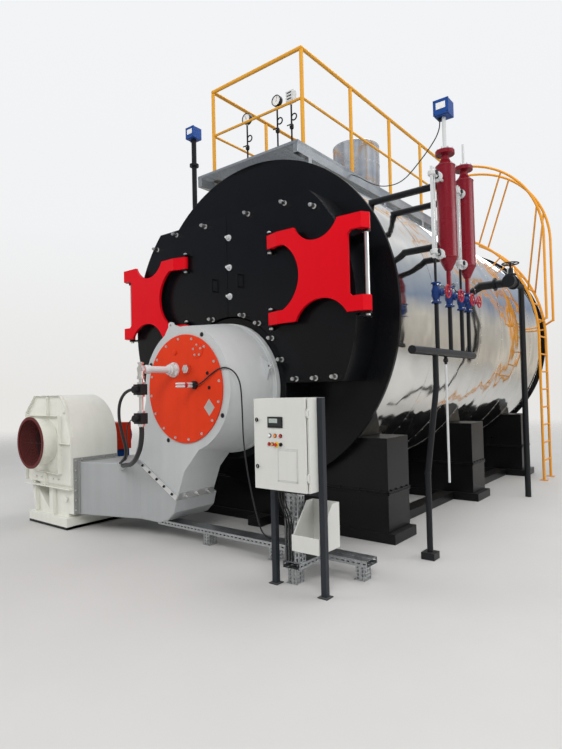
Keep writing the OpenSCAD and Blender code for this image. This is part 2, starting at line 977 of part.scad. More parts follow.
module left_level_pipe() {
    color("#1b1c1f") {
        difference() {
            zcyl(-1200, 260, 32, axis_z + 900, axis_z + 2560);
            ycyl(0, axis_z, shell_r + fit, 0, shell_len);
        }
        zcyl(-1200, 260, 60, axis_z + 2200, axis_z + 2230);
    }
    color("#1e58b8")
        block(-1275, -1125, 185, 335, axis_z + 2560, axis_z + 2710);
}

module cabinet_body() {
    color("#dcdcd6")
        difference() {
            block(cab_x0, cab_x1, -cab_front, -cab_back, cabinet_z, cabinet_z + cabinet_h);
            block(
                cab_x0 + 15, cab_x1 - 15, -cab_front - over, -cab_back - 15,
                cabinet_z + 15, cabinet_z + cabinet_h - 15
            );
        }
    color("#b8bab8")
        for (z = hinge_zs) {
            zcyl(hinge_x, -hinge_y, 4, z - 13, z + 53);
            for (dz = [-13, 41])
                block(hinge_x - 6, hinge_x + 4, -hinge_y, -cab_front, z + dz, z + dz + 12);
        }
}

module cabinet_door() {
    y1 = -door_back;
    color("#e2e2dc") {
        block(cab_x0 + 2, cab_x1 - 17, y1 - door_t, y1, cabinet_z + 2, cabinet_z + cabinet_h - 2);
        difference() {
            for (z = hinge_zs) {
                zcyl(hinge_x, -hinge_y, 7, z, z + 40);
                block(cab_x1 - 18, hinge_x, -hinge_y - 4, -hinge_y + 4, z, z + 40);
            }
            for (z = hinge_zs)
                zcyl(hinge_x, -hinge_y, 4 + hinge_play, z - over, z + 41);
        }
    }
    color("#151517")
        for (z = [cabinet_z + 170, cabinet_z + cabinet_h - 160])
            ycyl(cab_x0 + 40, z, 14, y1 - door_t - 12, y1 - door_t);
}

// Display, lamps and buttons on the cabinet door
module cabinet_panel() {
    y1 = -door_back - door_t;
    x = cab_x0 + 0.42 * cabinet_w;
    z = cabinet_z + cabinet_h - 220;
    color("#2a2c30")
        block(x - 70, x + 70, y1 - 8, y1, z, z + 75);
    color("#d8d8d8")
        for (i = [-1:1])
            ycyl(x + i * 55, z - 70, 14, y1 - 14, y1);
    color("#e8b01a")
        for (i = [-1.5, -0.5, 0.5, 1.5])
            ycyl(x + i * 40, z - 130, 15, y1 - 22, y1);
}

module cabinet_stand() {
    color("#3b3f45") {
        block(cab_x0 + 20, cab_x0 + 20 + post_w, -1300, -1300 + post_w, 0, cabinet_z);
        block(cab_x1, cab_x1 + post_w, -1330, -1330 + post_w, 0, cabinet_z + cabinet_h);
        block(cab_x0 + 20 + post_w, cab_x1, -1300, -1300 + post_w - 5, cabinet_z - post_w, cabinet_z);
        block(cab_x0, cab_x0 + 85, -1320, -1235, 0, 8);
        block(cab_x1 - 20, cab_x1 + 65, -1350, -1265, 0, 8);
    }
}

module file_holder() {
    color("#d2d4d2")
        difference() {
            slab_side(cab_x1 - 245, cab_x1)
                polygon([[-1345, 300], [-1060, 300], [-1060, 640], [-1150, 640], [-1325, 420], [-1345, 420]]);
            slab_side(cab_x1 - 237, cab_x1 - 8)
                polygon([[-1337, 308], [-1068, 308], [-1068, 650], [-1300, 650], [-1337, 430]]);
        }
}

// A flat shape drawn in depth and height, from x0 to x1
module slab_side(x0, x1) {
    translate([x0, 0, 0])
        rotate([90, 0, 90])
            linear_extrude(x1 - x0)
                children();
}

module cable_trays() {
    tray_t = 50;
    z0 = duct_z - tray_t;
    color("#a9adaf") {
        block(-600, 1350, -900, -740, z0, duct_z);
        block(1350, 1510, -1240, -740, z0, duct_z);
        block(1360, 1500, -1225, -1145, duct_z, cabinet_z);
        block(1510, 1900, -900, -740, z0, duct_z);
        for (x = [60, 900, 1780])
            block(x, x + 80, -870, -770, 0, z0);
        block(1390, 1470, -1230, -1130, 0, z0);
    }
}

shell();
front_plate();
rear_plate();
rear_cover();
tube_plate();
smokebox();
door_left();
door_right();
arm_left();
arm_right();
hinge_rods();
burner_mouth();
burner_neck();
burner_housing();
burner_cover();
sight_plug();
gas_lance();
igniter();
gas_valves();
air_duct();
fan_scroll();
fan_inlet();
inlet_ring();
fan_stand();
shaft_guard();
fan_motor();
saddles();
base_pads();
base_beams();
walkway_deck();
walkway_beams();
rail_posts();
guard_rails();
ladder_stiles();
ladder_rungs();
ladder_rails();
gauge_manifold();
pressure_gauges();
pressure_switches();
outlet_stub();
water_columns();
level_glasses();
level_transmitters();
column_pipes();
drain_valves();
drain_wheels();
drain_pipes();
feed_valve();
feed_pipe();
left_level_pipe();
cabinet_body();
cabinet_door();
cabinet_panel();
cabinet_stand();
file_holder();
cable_trays();
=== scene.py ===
# %% [markdown]
# A packaged fire-tube boiler stands in its plant room: a polished drum on black saddles, a black smokebox
# with red double-hinge arms in front, a cast burner with its fan and duct, a walkway with yellow rails on
# top, and water columns on the side. The CAD frame holds every size. This lesson gives each piece its edges,
# its small parts and its finish, in the same frame, so nothing here is ever fitted or moved.

# %% Frame and tools
import json
import math

import bmesh
import bpy
from mathutils import Matrix, Vector

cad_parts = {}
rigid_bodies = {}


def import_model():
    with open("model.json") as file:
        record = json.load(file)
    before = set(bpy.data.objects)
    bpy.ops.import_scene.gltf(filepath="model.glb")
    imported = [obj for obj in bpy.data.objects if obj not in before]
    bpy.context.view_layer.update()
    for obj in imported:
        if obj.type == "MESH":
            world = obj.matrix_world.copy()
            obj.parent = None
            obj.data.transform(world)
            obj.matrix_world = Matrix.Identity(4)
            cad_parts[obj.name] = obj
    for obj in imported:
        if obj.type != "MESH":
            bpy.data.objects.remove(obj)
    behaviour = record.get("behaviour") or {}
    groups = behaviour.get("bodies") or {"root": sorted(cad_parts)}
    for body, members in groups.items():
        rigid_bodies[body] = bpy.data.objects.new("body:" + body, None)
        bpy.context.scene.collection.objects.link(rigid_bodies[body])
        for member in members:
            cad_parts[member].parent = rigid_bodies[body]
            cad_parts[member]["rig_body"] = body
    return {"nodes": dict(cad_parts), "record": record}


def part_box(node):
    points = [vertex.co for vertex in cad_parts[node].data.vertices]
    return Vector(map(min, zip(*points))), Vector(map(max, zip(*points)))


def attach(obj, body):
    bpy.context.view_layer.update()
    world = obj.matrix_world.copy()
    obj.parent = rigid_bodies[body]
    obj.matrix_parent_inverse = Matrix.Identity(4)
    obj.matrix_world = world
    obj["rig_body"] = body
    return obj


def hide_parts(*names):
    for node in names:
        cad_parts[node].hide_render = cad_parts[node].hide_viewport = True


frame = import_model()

cad = frame["nodes"]
slot_of = {s["node"]: s["material_slot"] for s in frame["record"]["subparts"]}
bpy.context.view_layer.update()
scene = bpy.context.scene


def placed(name, data):
    piece = bpy.data.objects.new(name, data)
    scene.collection.objects.link(piece)
    return piece


# %% [markdown]
# The camera comes first. Its place and angles were solved from the photograph: it stands 1.5 m above the
# floor, in front and to the right, and looks 38 degrees to the left of the boiler's own axis. The lens
# follows from the solved focal length in pixels, for a frame whose long side is 749 pixels.

# %% Camera
FRAME_HIGH = 749
FOCAL_PIXELS = 538.794
eye = Vector((4.006, -4.554, 1.5))
yaw, pitch, roll = (math.radians(a) for a in (38.487, 1.66, -1.298))
ahead = Vector((-math.sin(yaw) * math.cos(pitch), math.cos(yaw) * math.cos(pitch), math.sin(pitch)))
level = Vector((math.cos(yaw), math.sin(yaw), 0))
above = level.cross(ahead)
to_right = level * math.cos(roll) + above * math.sin(roll)
to_top = above * math.cos(roll) - level * math.sin(roll)
photo_lens = bpy.data.cameras.new("photo_view")
photo_lens.sensor_width = 36
photo_lens.lens = FOCAL_PIXELS / FRAME_HIGH * 36
photo_lens.clip_end = 300
photo_camera = placed("photo_view", photo_lens)
turn = Matrix((to_right, to_top, -ahead)).transposed().to_4x4()
photo_camera.matrix_world = Matrix.Translation(eye) @ turn
scene.camera = photo_camera
scene.view_settings.view_transform = "Standard"
print("lens", round(photo_lens.lens, 2), "mm")

# %% [markdown]
# Shader and geometry node trees are both built from small steps: a node, its settings, and what goes into
# its sockets. One helper does all three, so a tree reads from top to bottom like a recipe.

# %% Node helper
def put(tree, kind, settings=None, **sockets):
    node = tree.nodes.new(kind)
    for key, value in (settings or {}).items():
        setattr(node, key, value)
    for key, value in sockets.items():
        socket = next(s for s in node.inputs if s.enabled and s.name.replace(" ", "_") == key)
        if isinstance(value, bpy.types.NodeSocket):
            tree.links.new(value, socket)
        else:
            socket.default_value = value
    return node


def result(node, name=None):
    return next(s for s in node.outputs if s.enabled and (name is None or s.name == name))


print("node helper ready")

# %% [markdown]
# The room is a plain studio. To the camera the world is pale. A mirror-bright drum shows nothing but its
# surroundings, so reflections see something richer: a warm wall low down, a cooler band over it, bright roof
# lights higher up with dark beams between them. For lighting the world is dimmer, so that large soft lamps
# can shape the black front without bleaching the pale parts.

# %% World
def banded(tree, value, bands):
    ramp = put(tree, "ShaderNodeValToRGB", Fac=value).color_ramp
    for at, colour in bands[2:]:
        ramp.elements.new(at)
    for element, (at, colour) in zip(ramp.elements, sorted(bands)):
        element.position, element.color = at, (*colour, 1)
    return result(tree.nodes[-1])


room = bpy.data.worlds.new("studio_room")
scene.world = room
room.use_nodes = True
sky = room.node_tree
sky.nodes.clear()
outward = result(put(sky, "ShaderNodeTexCoord"), "Generated")
height = result(put(sky, "ShaderNodeSeparateXYZ", Vector=outward), "Z")
tone = banded(sky, height, [(0.0, (0.80, 0.79, 0.77)), (0.9, (0.90, 0.92, 0.95)), (0.28, (0.88, 0.89, 0.90))])
raised = result(put(sky, "ShaderNodeMapRange", Value=height, From_Min=-1.0, From_Max=1.0))
walls = banded(sky, raised, [(0.0, (0.50, 0.47, 0.43)), (1.0, (0.62, 0.65, 0.70)), (0.48, (0.72, 0.66, 0.57)),
                             (0.56, (0.84, 0.79, 0.70)), (0.62, (0.25, 0.31, 0.42)),
                             (0.70, (0.52, 0.56, 0.61)), (0.76, (1.0, 1.0, 1.0)), (0.86, (0.40, 0.46, 0.55)),
                             (0.92, (0.95, 0.96, 0.98))])
hall = put(sky, "ShaderNodeMapping", Vector=outward, Scale=(1.6, 3.4, 1.0))
patches = put(sky, "ShaderNodeTexNoise", Vector=result(hall), Scale=1.5, Detail=2.0)
patch_tone = banded(sky, result(patches), [(0.36, (0.45, 0.46, 0.49)), (0.62, (1.0, 1.0, 1.0))])
hall_tone = put(sky, "ShaderNodeMix", {"data_type": "RGBA", "blend_type": "MULTIPLY"}, Factor=1.0, A=walls,
                B=patch_tone)
rays = put(sky, "ShaderNodeLightPath")
mirrored = put(sky, "ShaderNodeMix", {"data_type": "RGBA"}, Factor=result(rays, "Is Glossy Ray"), A=tone,
               B=result(hall_tone))
seen = put(sky, "ShaderNodeMath", {"operation": "MAXIMUM"})
sky.links.new(result(rays, "Is Camera Ray"), seen.inputs[0])
sky.links.new(result(rays, "Is Transmission Ray"), seen.inputs[1])
shown = put(sky, "ShaderNodeMath", {"operation": "MAXIMUM"})
sky.links.new(result(seen), shown.inputs[0])
sky.links.new(result(rays, "Is Glossy Ray"), shown.inputs[1])
power = put(sky, "ShaderNodeMapRange", Value=result(shown), To_Min=0.42, To_Max=1.0)
shine = put(sky, "ShaderNodeBackground", Color=result(mirrored), Strength=result(power))
put(sky, "ShaderNodeOutputWorld", Surface=result(shine))
print("world ready")

# %% [markdown]
# Two large lamps light the front, one the roof, one the right side and one the back. The front pair is kept
# out of mirror reflections, so that the gloss black doors stay black instead of showing a white patch.

# %% Lamps
def soft_lamp(name, place, aim, wide, tall, watts):
    data = bpy.data.lights.new(name, "AREA")
    data.shape = "RECTANGLE"
    data.size, data.size_y, data.energy = wide, tall, watts
    lamp = placed(name, data)
    lamp.location = place
    lamp.rotation_euler = (Vector(aim) - Vector(place)).to_track_quat("-Z", "Y").to_euler()
    return lamp


front_lamps = [soft_lamp("key_lamp", (6.5, -8.0, 8.0), (0, 0, 2), 6, 4, 600),
               soft_lamp("left_lamp", (-8.0, -7.0, 6.0), (-1, 0, 1.5), 6, 4, 350)]
for lamp in front_lamps:
    lamp.visible_glossy = False
soft_lamp("roof_lamp", (1.5, 3.0, 11.0), (0, 2.5, 3), 9, 6, 520)
soft_lamp("side_lamp", (10.0, 4.0, 5.0), (0, 3, 2.5), 8, 3, 300)
soft_lamp("back_lamp", (-4.0, 14.0, 7.0), (0, 4, 2.5), 8, 4, 300)

# %% [markdown]
# Every finish starts from one recipe for paint on steel: a slow drift of tone over metres, faint vertical
# streaks where condensation and wiping have run, a fine orange-peel bump from the spray gun, uneven gloss,
# and dust on what faces up. Only the numbers differ from finish to finish.

# %% Paint recipe
def blank(name):
    finish = bpy.data.materials.new(name)
    finish.use_nodes = True
    tree = finish.node_tree
    shader = tree.nodes["Principled BSDF"]
    where = result(put(tree, "ShaderNodeTexCoord"), "Object")
    return finish, tree, shader, where


def two_tone(tree, amount, low, high, first, second):
    ramp = put(tree, "ShaderNodeValToRGB", Fac=amount)
    for spot, (at, colour) in enumerate(((low, first), (high, second))):
        ramp.color_ramp.elements[spot].position = at
        ramp.color_ramp.elements[spot].color = (*colour, 1)
    return result(ramp)


def shade(colour, gain):
    return tuple(min(1.0, c * gain) for c in colour)


def paint(name, colour, rough=0.4, drift=0.07, streak=0.05, peel=0.12, peel_scale=170.0, dust=0.25, spec=0.32,
          patchy=1.0):
    finish, tree, shader, where = blank(name)
    broad = put(tree, "ShaderNodeTexNoise", Vector=where, Scale=1.4, Detail=5.0, Roughness=0.6)
    body = two_tone(tree, result(broad), 0.3, 0.7, shade(colour, 1 - drift), shade(colour, 1 + drift))
    runs = put(tree, "ShaderNodeMapping", Vector=where, Scale=(14.0, 14.0, 0.7))
    lines = put(tree, "ShaderNodeTexNoise", Vector=result(runs), Scale=1.0, Detail=3.0)
    line_tone = two_tone(tree, result(lines), 0.35, 0.6, shade((1, 1, 1), 1 - streak * 2), (1, 1, 1))
    body = result(put(tree, "ShaderNodeMix", {"data_type": "RGBA", "blend_type": "MULTIPLY"}, Factor=1.0,
                      A=body, B=line_tone))
    if dust:
        up = put(tree, "ShaderNodeSeparateXYZ", Vector=result(put(tree, "ShaderNodeNewGeometry"), "Normal"))
        grit = put(tree, "ShaderNodeTexNoise", Vector=where, Scale=23.0, Detail=6.0)
        lie = put(tree, "ShaderNodeMapRange", Value=result(up, "Z"), From_Min=0.5, From_Max=1.0, To_Max=dust)
        amount = put(tree, "ShaderNodeMath", {"operation": "MULTIPLY"})
        tree.links.new(result(lie), amount.inputs[0])
        tree.links.new(result(grit), amount.inputs[1])
        body = result(put(tree, "ShaderNodeMix", {"data_type": "RGBA"}, Factor=result(amount), A=body,
                          B=(0.50, 0.47, 0.42, 1)))
    tree.links.new(body, shader.inputs["Base Color"])
    patch = put(tree, "ShaderNodeTexNoise", Vector=where, Scale=5.0, Detail=6.0, Roughness=0.65)
    gloss = put(tree, "ShaderNodeMapRange", Value=result(patch), From_Min=0.3, From_Max=0.7,
                To_Min=max(0.03, rough - 0.07 * patchy), To_Max=rough + 0.09 * patchy)
    tree.links.new(result(gloss), shader.inputs["Roughness"])
    skin = put(tree, "ShaderNodeTexNoise", Vector=where, Scale=peel_scale, Detail=2.0)
    relief = put(tree, "ShaderNodeBump", Strength=peel, Distance=0.0006, Height=result(skin))
    tree.links.new(result(relief), shader.inputs["Normal"])
    shader.inputs["Specular IOR Level"].default_value = spec
    return finish


front_black = paint("front_black", (0.0050, 0.0054, 0.0066), 0.24, 0.12, 0.03, 0.02, dust=0.03, spec=0.20,
                    patchy=0.35)
base_black = paint("base_black", (0.0060, 0.0060, 0.0068), 0.30, 0.12, 0.05, 0.03, dust=0.08, spec=0.22,
                   patchy=0.4)
pipe_black = paint("pipe_black", (0.011, 0.012, 0.014), 0.36, 0.15, 0.03, 0.05, dust=0.10, spec=0.26)
arm_red = paint("arm_red", (0.70, 0.0020, 0.0100), 0.38, 0.04, 0.01, 0.04, dust=0.02, spec=0.14)
cover_orange = paint("cover_orange", (0.75, 0.048, 0.012), 0.46, 0.05, 0.02, 0.10, 90.0, dust=0.03, spec=0.15)
cast_grey = paint("cast_grey", (0.54, 0.56, 0.56), 0.46, 0.04, 0.01, 0.35, 120.0, dust=0.05)
flange_grey = paint("flange_grey", (0.31, 0.32, 0.31), 0.42, 0.06, 0.02, 0.06, dust=0.06)
duct_grey = paint("duct_grey", (0.41, 0.425, 0.43), 0.42, 0.04, 0.02, 0.06, dust=0.08)
fan_cream = paint("fan_cream", (0.83, 0.83, 0.76), 0.44, 0.04, 0.015, 0.10, dust=0.08)
guard_maroon = paint("guard_maroon", (0.050, 0.012, 0.012), 0.50, 0.05, 0.0, 0.0, dust=0.0)
mouth_maroon = paint("mouth_maroon", (0.140, 0.034, 0.032), 0.42, 0.10, 0.02, 0.15, dust=0.04)
# Darker purple-grey for the liner deep in the fan mouth: painted shade and painted reflection of the recess.
mouth_brown = paint("mouth_brown", (0.080, 0.040, 0.042), 0.46, 0.10, 0.02, 0.15, dust=0.04)
inlet_maroon = paint("inlet_maroon", (0.12, 0.016, 0.015), 0.50, 0.12, 0.02, 0.15, dust=0.04)
rail_yellow = paint("rail_yellow", (0.77, 0.37, 0.035), 0.38, 0.05, 0.02, 0.0, dust=0.06, patchy=0.4)
ladder_orange = paint("ladder_orange", (0.79, 0.33, 0.025), 0.40, 0.05, 0.02, 0.0, dust=0.06, patchy=0.4)
column_red = paint("column_red", (0.21, 0.007, 0.017), 0.27, 0.08, 0.02, 0.05, dust=0.05)
wheel_red = paint("wheel_red", (0.46, 0.010, 0.016), 0.40, 0.10, 0.02, 0.12)
valve_blue = paint("valve_blue", (0.008, 0.036, 0.16), 0.38, 0.12, 0.03, 0.20, 70.0)
motor_blue = paint("motor_blue", (0.012, 0.065, 0.28), 0.36, 0.10, 0.02, 0.12)
guard_orange = paint("guard_orange", (0.62, 0.036, 0.013), 0.40, 0.06, 0.02, 0.10)
cabinet_cream = paint("cabinet_cream", (0.68, 0.68, 0.645), 0.46, 0.02, 0.008, 0.22, 260.0, dust=0.04)
post_grey = paint("post_grey", (0.020, 0.024, 0.031), 0.44, 0.12, 0.03, 0.10)
switch_white = paint("switch_white", (0.66, 0.68, 0.68), 0.42, 0.04, 0.01, 0.10)
cap_black = paint("cap_black", (0.010, 0.010, 0.011), 0.45, 0.15, 0.0, 0.15, dust=0.04)
print("paints:", len(bpy.data.materials))

# %% [markdown]
# Bare metals need their own recipes. The drum is clad in mirror-polished sheet that is never quite flat, so
# its reflections swim: that is a very broad, shallow bump, not roughness. Galvanised steel shows its
# crystals, and bright fasteners show fine turning marks.

# %% Metals
def bare_metal(name, colour, rough, wobble, wobble_scale, grain=0.05, grain_scale=(240.0, 240.0, 240.0),
               spangle=0.0):
    finish, tree, shader, where = blank(name)
    patch = put(tree, "ShaderNodeTexNoise", Vector=where, Scale=3.0, Detail=6.0, Roughness=0.6)
    if spangle:
        crystals = put(tree, "ShaderNodeTexVoronoi", Vector=where, Scale=spangle)
        flake = two_tone(tree, result(crystals, "Distance"), 0.0, 0.8, shade(colour, 0.86),
                         shade(colour, 1.12))
        tree.links.new(flake, shader.inputs["Base Color"])
    else:
        tree.links.new(two_tone(tree, result(patch), 0.3, 0.7, shade(colour, 0.94), shade(colour, 1.04)),
                       shader.inputs["Base Color"])
    gloss = put(tree, "ShaderNodeMapRange", Value=result(patch), From_Min=0.3, From_Max=0.75,
                To_Min=max(0.02, rough * 0.7), To_Max=rough * 1.5)
    tree.links.new(result(gloss), shader.inputs["Roughness"])
    dents = put(tree, "ShaderNodeTexNoise", Vector=where, Scale=wobble_scale, Detail=2.0, Roughness=0.4)
    swim = put(tree, "ShaderNodeBump", Strength=1.0, Distance=wobble, Height=result(dents))
    marks = put(tree, "ShaderNodeMapping", Vector=where, Scale=grain_scale)
    brush = put(tree, "ShaderNodeTexNoise", Vector=result(marks), Scale=1.0, Detail=3.0)
    both = put(tree, "ShaderNodeBump", Strength=grain, Distance=0.0004, Height=result(brush),
               Normal=result(swim))
    tree.links.new(result(both), shader.inputs["Normal"])
    shader.inputs["Metallic"].default_value = 1.0
    return finish


polished_sheet = bare_metal("polished_sheet", (0.83, 0.825, 0.79), 0.075, 0.035, 1.3, 0.03, (4.0, 300.0, 4.0))
lagging_sheet = bare_metal("lagging_sheet", (0.72, 0.73, 0.74), 0.22, 0.010, 3.0, 0.10)
zinc_coat = bare_metal("zinc_coat", (0.50, 0.52, 0.53), 0.38, 0.0006, 30.0, 0.10, spangle=55.0)
bright_steel = bare_metal("bright_steel", (0.82, 0.82, 0.80), 0.30, 0.0002, 40.0, 0.15)
strip_steel = bare_metal("strip_steel", (0.86, 0.87, 0.87), 0.36, 0.0006, 20.0, 0.10)
sooted_steel = bare_metal("sooted_steel", (0.050, 0.044, 0.040), 0.62, 0.0012, 30.0, 0.4)
tube_steel = bare_metal("tube_steel", (0.24, 0.20, 0.17), 0.50, 0.0010, 40.0, 0.3)
print("metals ready")

# %% Glass, rubber and lamp caps
def plain_gloss(name, colour, rough, clear=0.0):
    finish, tree, shader, where = blank(name)
    grit = put(tree, "ShaderNodeTexNoise", Vector=where, Scale=60.0, Detail=4.0)
    tree.links.new(two_tone(tree, result(grit), 0.3, 0.7, shade(colour, 0.92), shade(colour, 1.04)),
                   shader.inputs["Base Color"])
    gloss = put(tree, "ShaderNodeMapRange", Value=result(grit), To_Min=rough * 0.8, To_Max=rough * 1.2)
    tree.links.new(result(gloss), shader.inputs["Roughness"])
    shader.inputs["Transmission Weight"].default_value = clear
    return finish


clear_glass = plain_gloss("clear_glass", (0.95, 0.97, 0.97), 0.03, 1.0)
hose_rubber = plain_gloss("hose_rubber", (0.012, 0.012, 0.013), 0.42)
lamp_white = plain_gloss("lamp_white", (0.82, 0.84, 0.84), 0.22)
lamp_amber = plain_gloss("lamp_amber", (0.86, 0.26, 0.03), 0.22)
lamp_red = plain_gloss("lamp_red", (0.55, 0.02, 0.02), 0.22)
button_yellow = plain_gloss("button_yellow", (0.84, 0.58, 0.03), 0.35)
dial_face = plain_gloss("dial_face", (0.86, 0.87, 0.86), 0.35)
dark_screen = plain_gloss("dark_screen", (0.022, 0.026, 0.030), 0.14)
screen_glow = plain_gloss("screen_glow", (0.42, 0.47, 0.44), 0.3)
sleeve_film = plain_gloss("sleeve_film", (0.60, 0.60, 0.58), 0.10)
print("materials:", len(bpy.data.materials))

# %% [markdown]
# Cables and hoses are fixed lengths of something flexible. Each runs straight out of its gland, then falls,
# loops or lies as its stiffness lets it: the ignition cable arches over the rim of the burner and drops to
# the tray, two gas hoses and a coil lead sweep down to the duct, the transmitter's lead hangs slack to the
# walkway's side beam, and three power leads drop from the cabinet along the upright tray. The knots are
# listed, and a smooth curve runs through them.

# %% Cables and hoses
def smooth_path(knots, count):
    points = [Vector(k) for k in knots]
    points = [points[0] * 2 - points[1]] + points + [points[-1] * 2 - points[-2]]
    path = []
    for a, b, c, d in zip(points, points[1:], points[2:], points[3:]):
        for k in range(12):
            t = k / 12
            path.append(0.5 * ((2 * b) + (c - a) * t + (2 * a - 5 * b + 4 * c - d) * t * t
                               + (3 * b - a - 3 * c + d) * t ** 3))
    path.append(points[-2])
    steps = [0.0]
    for a, b in zip(path, path[1:]):
        steps.append(steps[-1] + (b - a).length)
    even = []
    for n in range(count):
        want = steps[-1] * n / (count - 1)
        k = max(i for i, s in enumerate(steps) if s <= want + 1e-9)
        k = min(k, len(path) - 2)
        part = (want - steps[k]) / max(1e-9, steps[k + 1] - steps[k])
        even.append(path[k].lerp(path[k + 1], part))
    return even


def flexible(name, knots, count, diameter, finish):
    route = smooth_path(knots, count)
    line = bpy.data.curves.new(name, "CURVE")
    line.dimensions = "3D"
    line.bevel_depth, line.bevel_resolution, line.use_fill_caps = diameter / 2, 4, True
    spline = line.splines.new("NURBS")
    spline.points.add(count - 1)
    for point, place in zip(spline.points, route):
        point.co = (*place, 1)
    spline.order_u, spline.use_endpoint_u, spline.resolution_u = 3, True, 6
    line.materials.append(finish)
    piece = placed(name, line)
    belongs(piece, "plant", "black_paint")
    print(name, "runs", round(spline.calc_length(), 3), "m")
    return piece


def belongs(piece, body, slot, *nodes):
    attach(piece, body)
    if nodes:
        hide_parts(*nodes)
    return piece


LEAD_XS, LEAD_Y = (1.386, 1.412, 1.438), -1.318
flexible("ignition_cable", [
    (0.166, -1.036, 1.568), (0.205, -1.036, 1.570), (0.260, -1.036, 1.592), (0.350, -1.030, 1.652),
    (0.450, -1.020, 1.706), (0.540, -1.014, 1.720), (0.615, -0.995, 1.690), (0.660, -0.970, 1.620),
    (0.676, -0.955, 1.520), (0.682, -0.950, 1.336), (0.692, -0.950, 1.050), (0.730, -0.945, 0.760),
    (0.775, -0.920, 0.480), (0.800, -0.880, 0.290), (0.825, -0.845, 0.200), (0.880, -0.825, 0.178),
    (0.960, -0.820, 0.177)], 40, 0.014, hose_rubber)
flexible("gas_hose_long", [
    (-0.160, -1.424, 1.196), (-0.160, -1.424, 1.100), (-0.192, -1.420, 0.985), (-0.310, -1.385, 0.872),
    (-0.500, -1.300, 0.802), (-0.700, -1.205, 0.768), (-0.830, -1.145, 0.748), (-0.905, -1.112, 0.736)],
         28, 0.046, hose_rubber)
flexible("gas_hose_side", [
    (-0.245, -1.430, 1.535), (-0.325, -1.430, 1.532), (-0.430, -1.425, 1.490), (-0.520, -1.410, 1.395),
    (-0.565, -1.385, 1.255), (-0.575, -1.345, 1.100), (-0.610, -1.285, 0.960), (-0.700, -1.225, 0.860),
    (-0.820, -1.175, 0.800), (-0.925, -1.130, 0.765)], 32, 0.030, hose_rubber)
flexible("coil_lead", [
    (-0.245, -1.430, 1.265), (-0.290, -1.430, 1.258), (-0.370, -1.425, 1.200), (-0.430, -1.400, 1.090),
    (-0.490, -1.345, 0.980), (-0.600, -1.270, 0.880), (-0.740, -1.195, 0.815), (-0.860, -1.150, 0.790),
    (-0.935, -1.110, 0.765)], 26, 0.011, hose_rubber)
flexible("transmitter_lead", [
    (2.060, 0.440, 4.060), (2.059, 0.440, 4.010), (2.025, 0.443, 3.925), (1.940, 0.455, 3.830),
    (1.800, 0.500, 3.735), (1.610, 0.620, 3.678), (1.420, 0.740, 3.690), (1.200, 0.850, 3.760),
    (1.000, 0.930, 3.880), (0.860, 0.960, 3.985), (0.755, 0.965, 4.045)], 34, 0.011, hose_rubber)
for number, x in enumerate(LEAD_XS):
    flexible("cabinet_lead_" + str(number), [
        (x, LEAD_Y, 0.738), (x, LEAD_Y, 0.690), (x + 0.004, -1.300, 0.620), (x + 0.006, -1.262, 0.545),
        (x + 0.003, -1.236, 0.470), (x, -1.2325, 0.400), (x - 0.002, -1.2325, 0.320), (x, -1.2325, 0.240),
        (x, -1.2325, 0.175)], 20, 0.012, hose_rubber)
print("cables and hoses ready")

# %% [markdown]
# The floor is a pale disc that fades into the background far away, and only carries the shadows.

# %% Floor
def pale_floor():
    mesh = bpy.data.meshes.new("floor")
    ring = [(60 * math.cos(a), 60 * math.sin(a), 0.0) for a in (math.radians(3 * i) for i in range(120))]
    mesh.from_pydata(ring, [], [list(range(120))])
    floor = placed("floor", mesh)
    finish, tree, shader, where = blank("floor_pale")
    cloud = put(tree, "ShaderNodeTexNoise", Vector=where, Scale=0.8, Detail=4.0)
    tree.links.new(two_tone(tree, result(cloud), 0.3, 0.7, (0.60, 0.59, 0.575), (0.63, 0.62, 0.605)),
                   shader.inputs["Base Color"])
    shader.inputs["Roughness"].default_value = 0.6
    far = put(tree, "ShaderNodeVectorMath", {"operation": "LENGTH"}, Vector=where)
    fade = put(tree, "ShaderNodeMapRange", {"interpolation_type": "SMOOTHSTEP"}, Value=result(far, "Value"),
               From_Min=6.0, From_Max=22.0)
    see = put(tree, "ShaderNodeBsdfTransparent")
    both = put(tree, "ShaderNodeMixShader", Fac=result(fade))
    tree.links.new(shader.outputs[0], both.inputs[1])
    tree.links.new(result(see), both.inputs[2])
    tree.links.new(result(both), tree.nodes["Material Output"].inputs["Surface"])
    mesh.materials.append(finish)
    return floor


pale_floor()
print("floor laid")

# %% [markdown]
# A CAD solid has knife edges, and its mesh is loose triangles. Real steel catches light on its edges, so
# most nodes get a softened copy: the triangles are merged, flat faces become whole again, and a narrow bevel
# rounds each sharp edge, except on the drum, the tube plate and thin pipes. Normals weighted by face area
# keep the big plates flat to the eye. The copy replaces the node and stays exactly where it was. Three nodes
# have a second paint: it goes on the faces whose middle lies in the part that it covers, and the fan's stand
# is first cut level with the top of its rails.

# %% Softened copies
SHARP = math.radians(32)
ROD_X, ROD_Y, ROD_R = 1.690, -0.391, 0.0215
GLASS_SIDE_X = 2.060
RAIL_TOP = 0.030


def own_mesh(piece):
    bpy.context.view_layer.update()
    graph = bpy.context.evaluated_depsgraph_get()
    made = bpy.data.meshes.new_from_object(piece.evaluated_get(graph))
    old = piece.data
    piece.modifiers.clear()
    piece.data = made
    if old.users == 0:
        bpy.data.meshes.remove(old)
    return piece


def rounded(piece, width, steps):
    piece.data.set_sharp_from_angle(angle=SHARP)
    if width:
        edge = piece.modifiers.new("edge", "BEVEL")
        edge.width, edge.segments = width, steps
        edge.limit_method, edge.angle_limit = "ANGLE", SHARP
        even = piece.modifiers.new("even", "WEIGHTED_NORMAL")
        even.weight, even.keep_sharp = 100, True
    return own_mesh(piece)


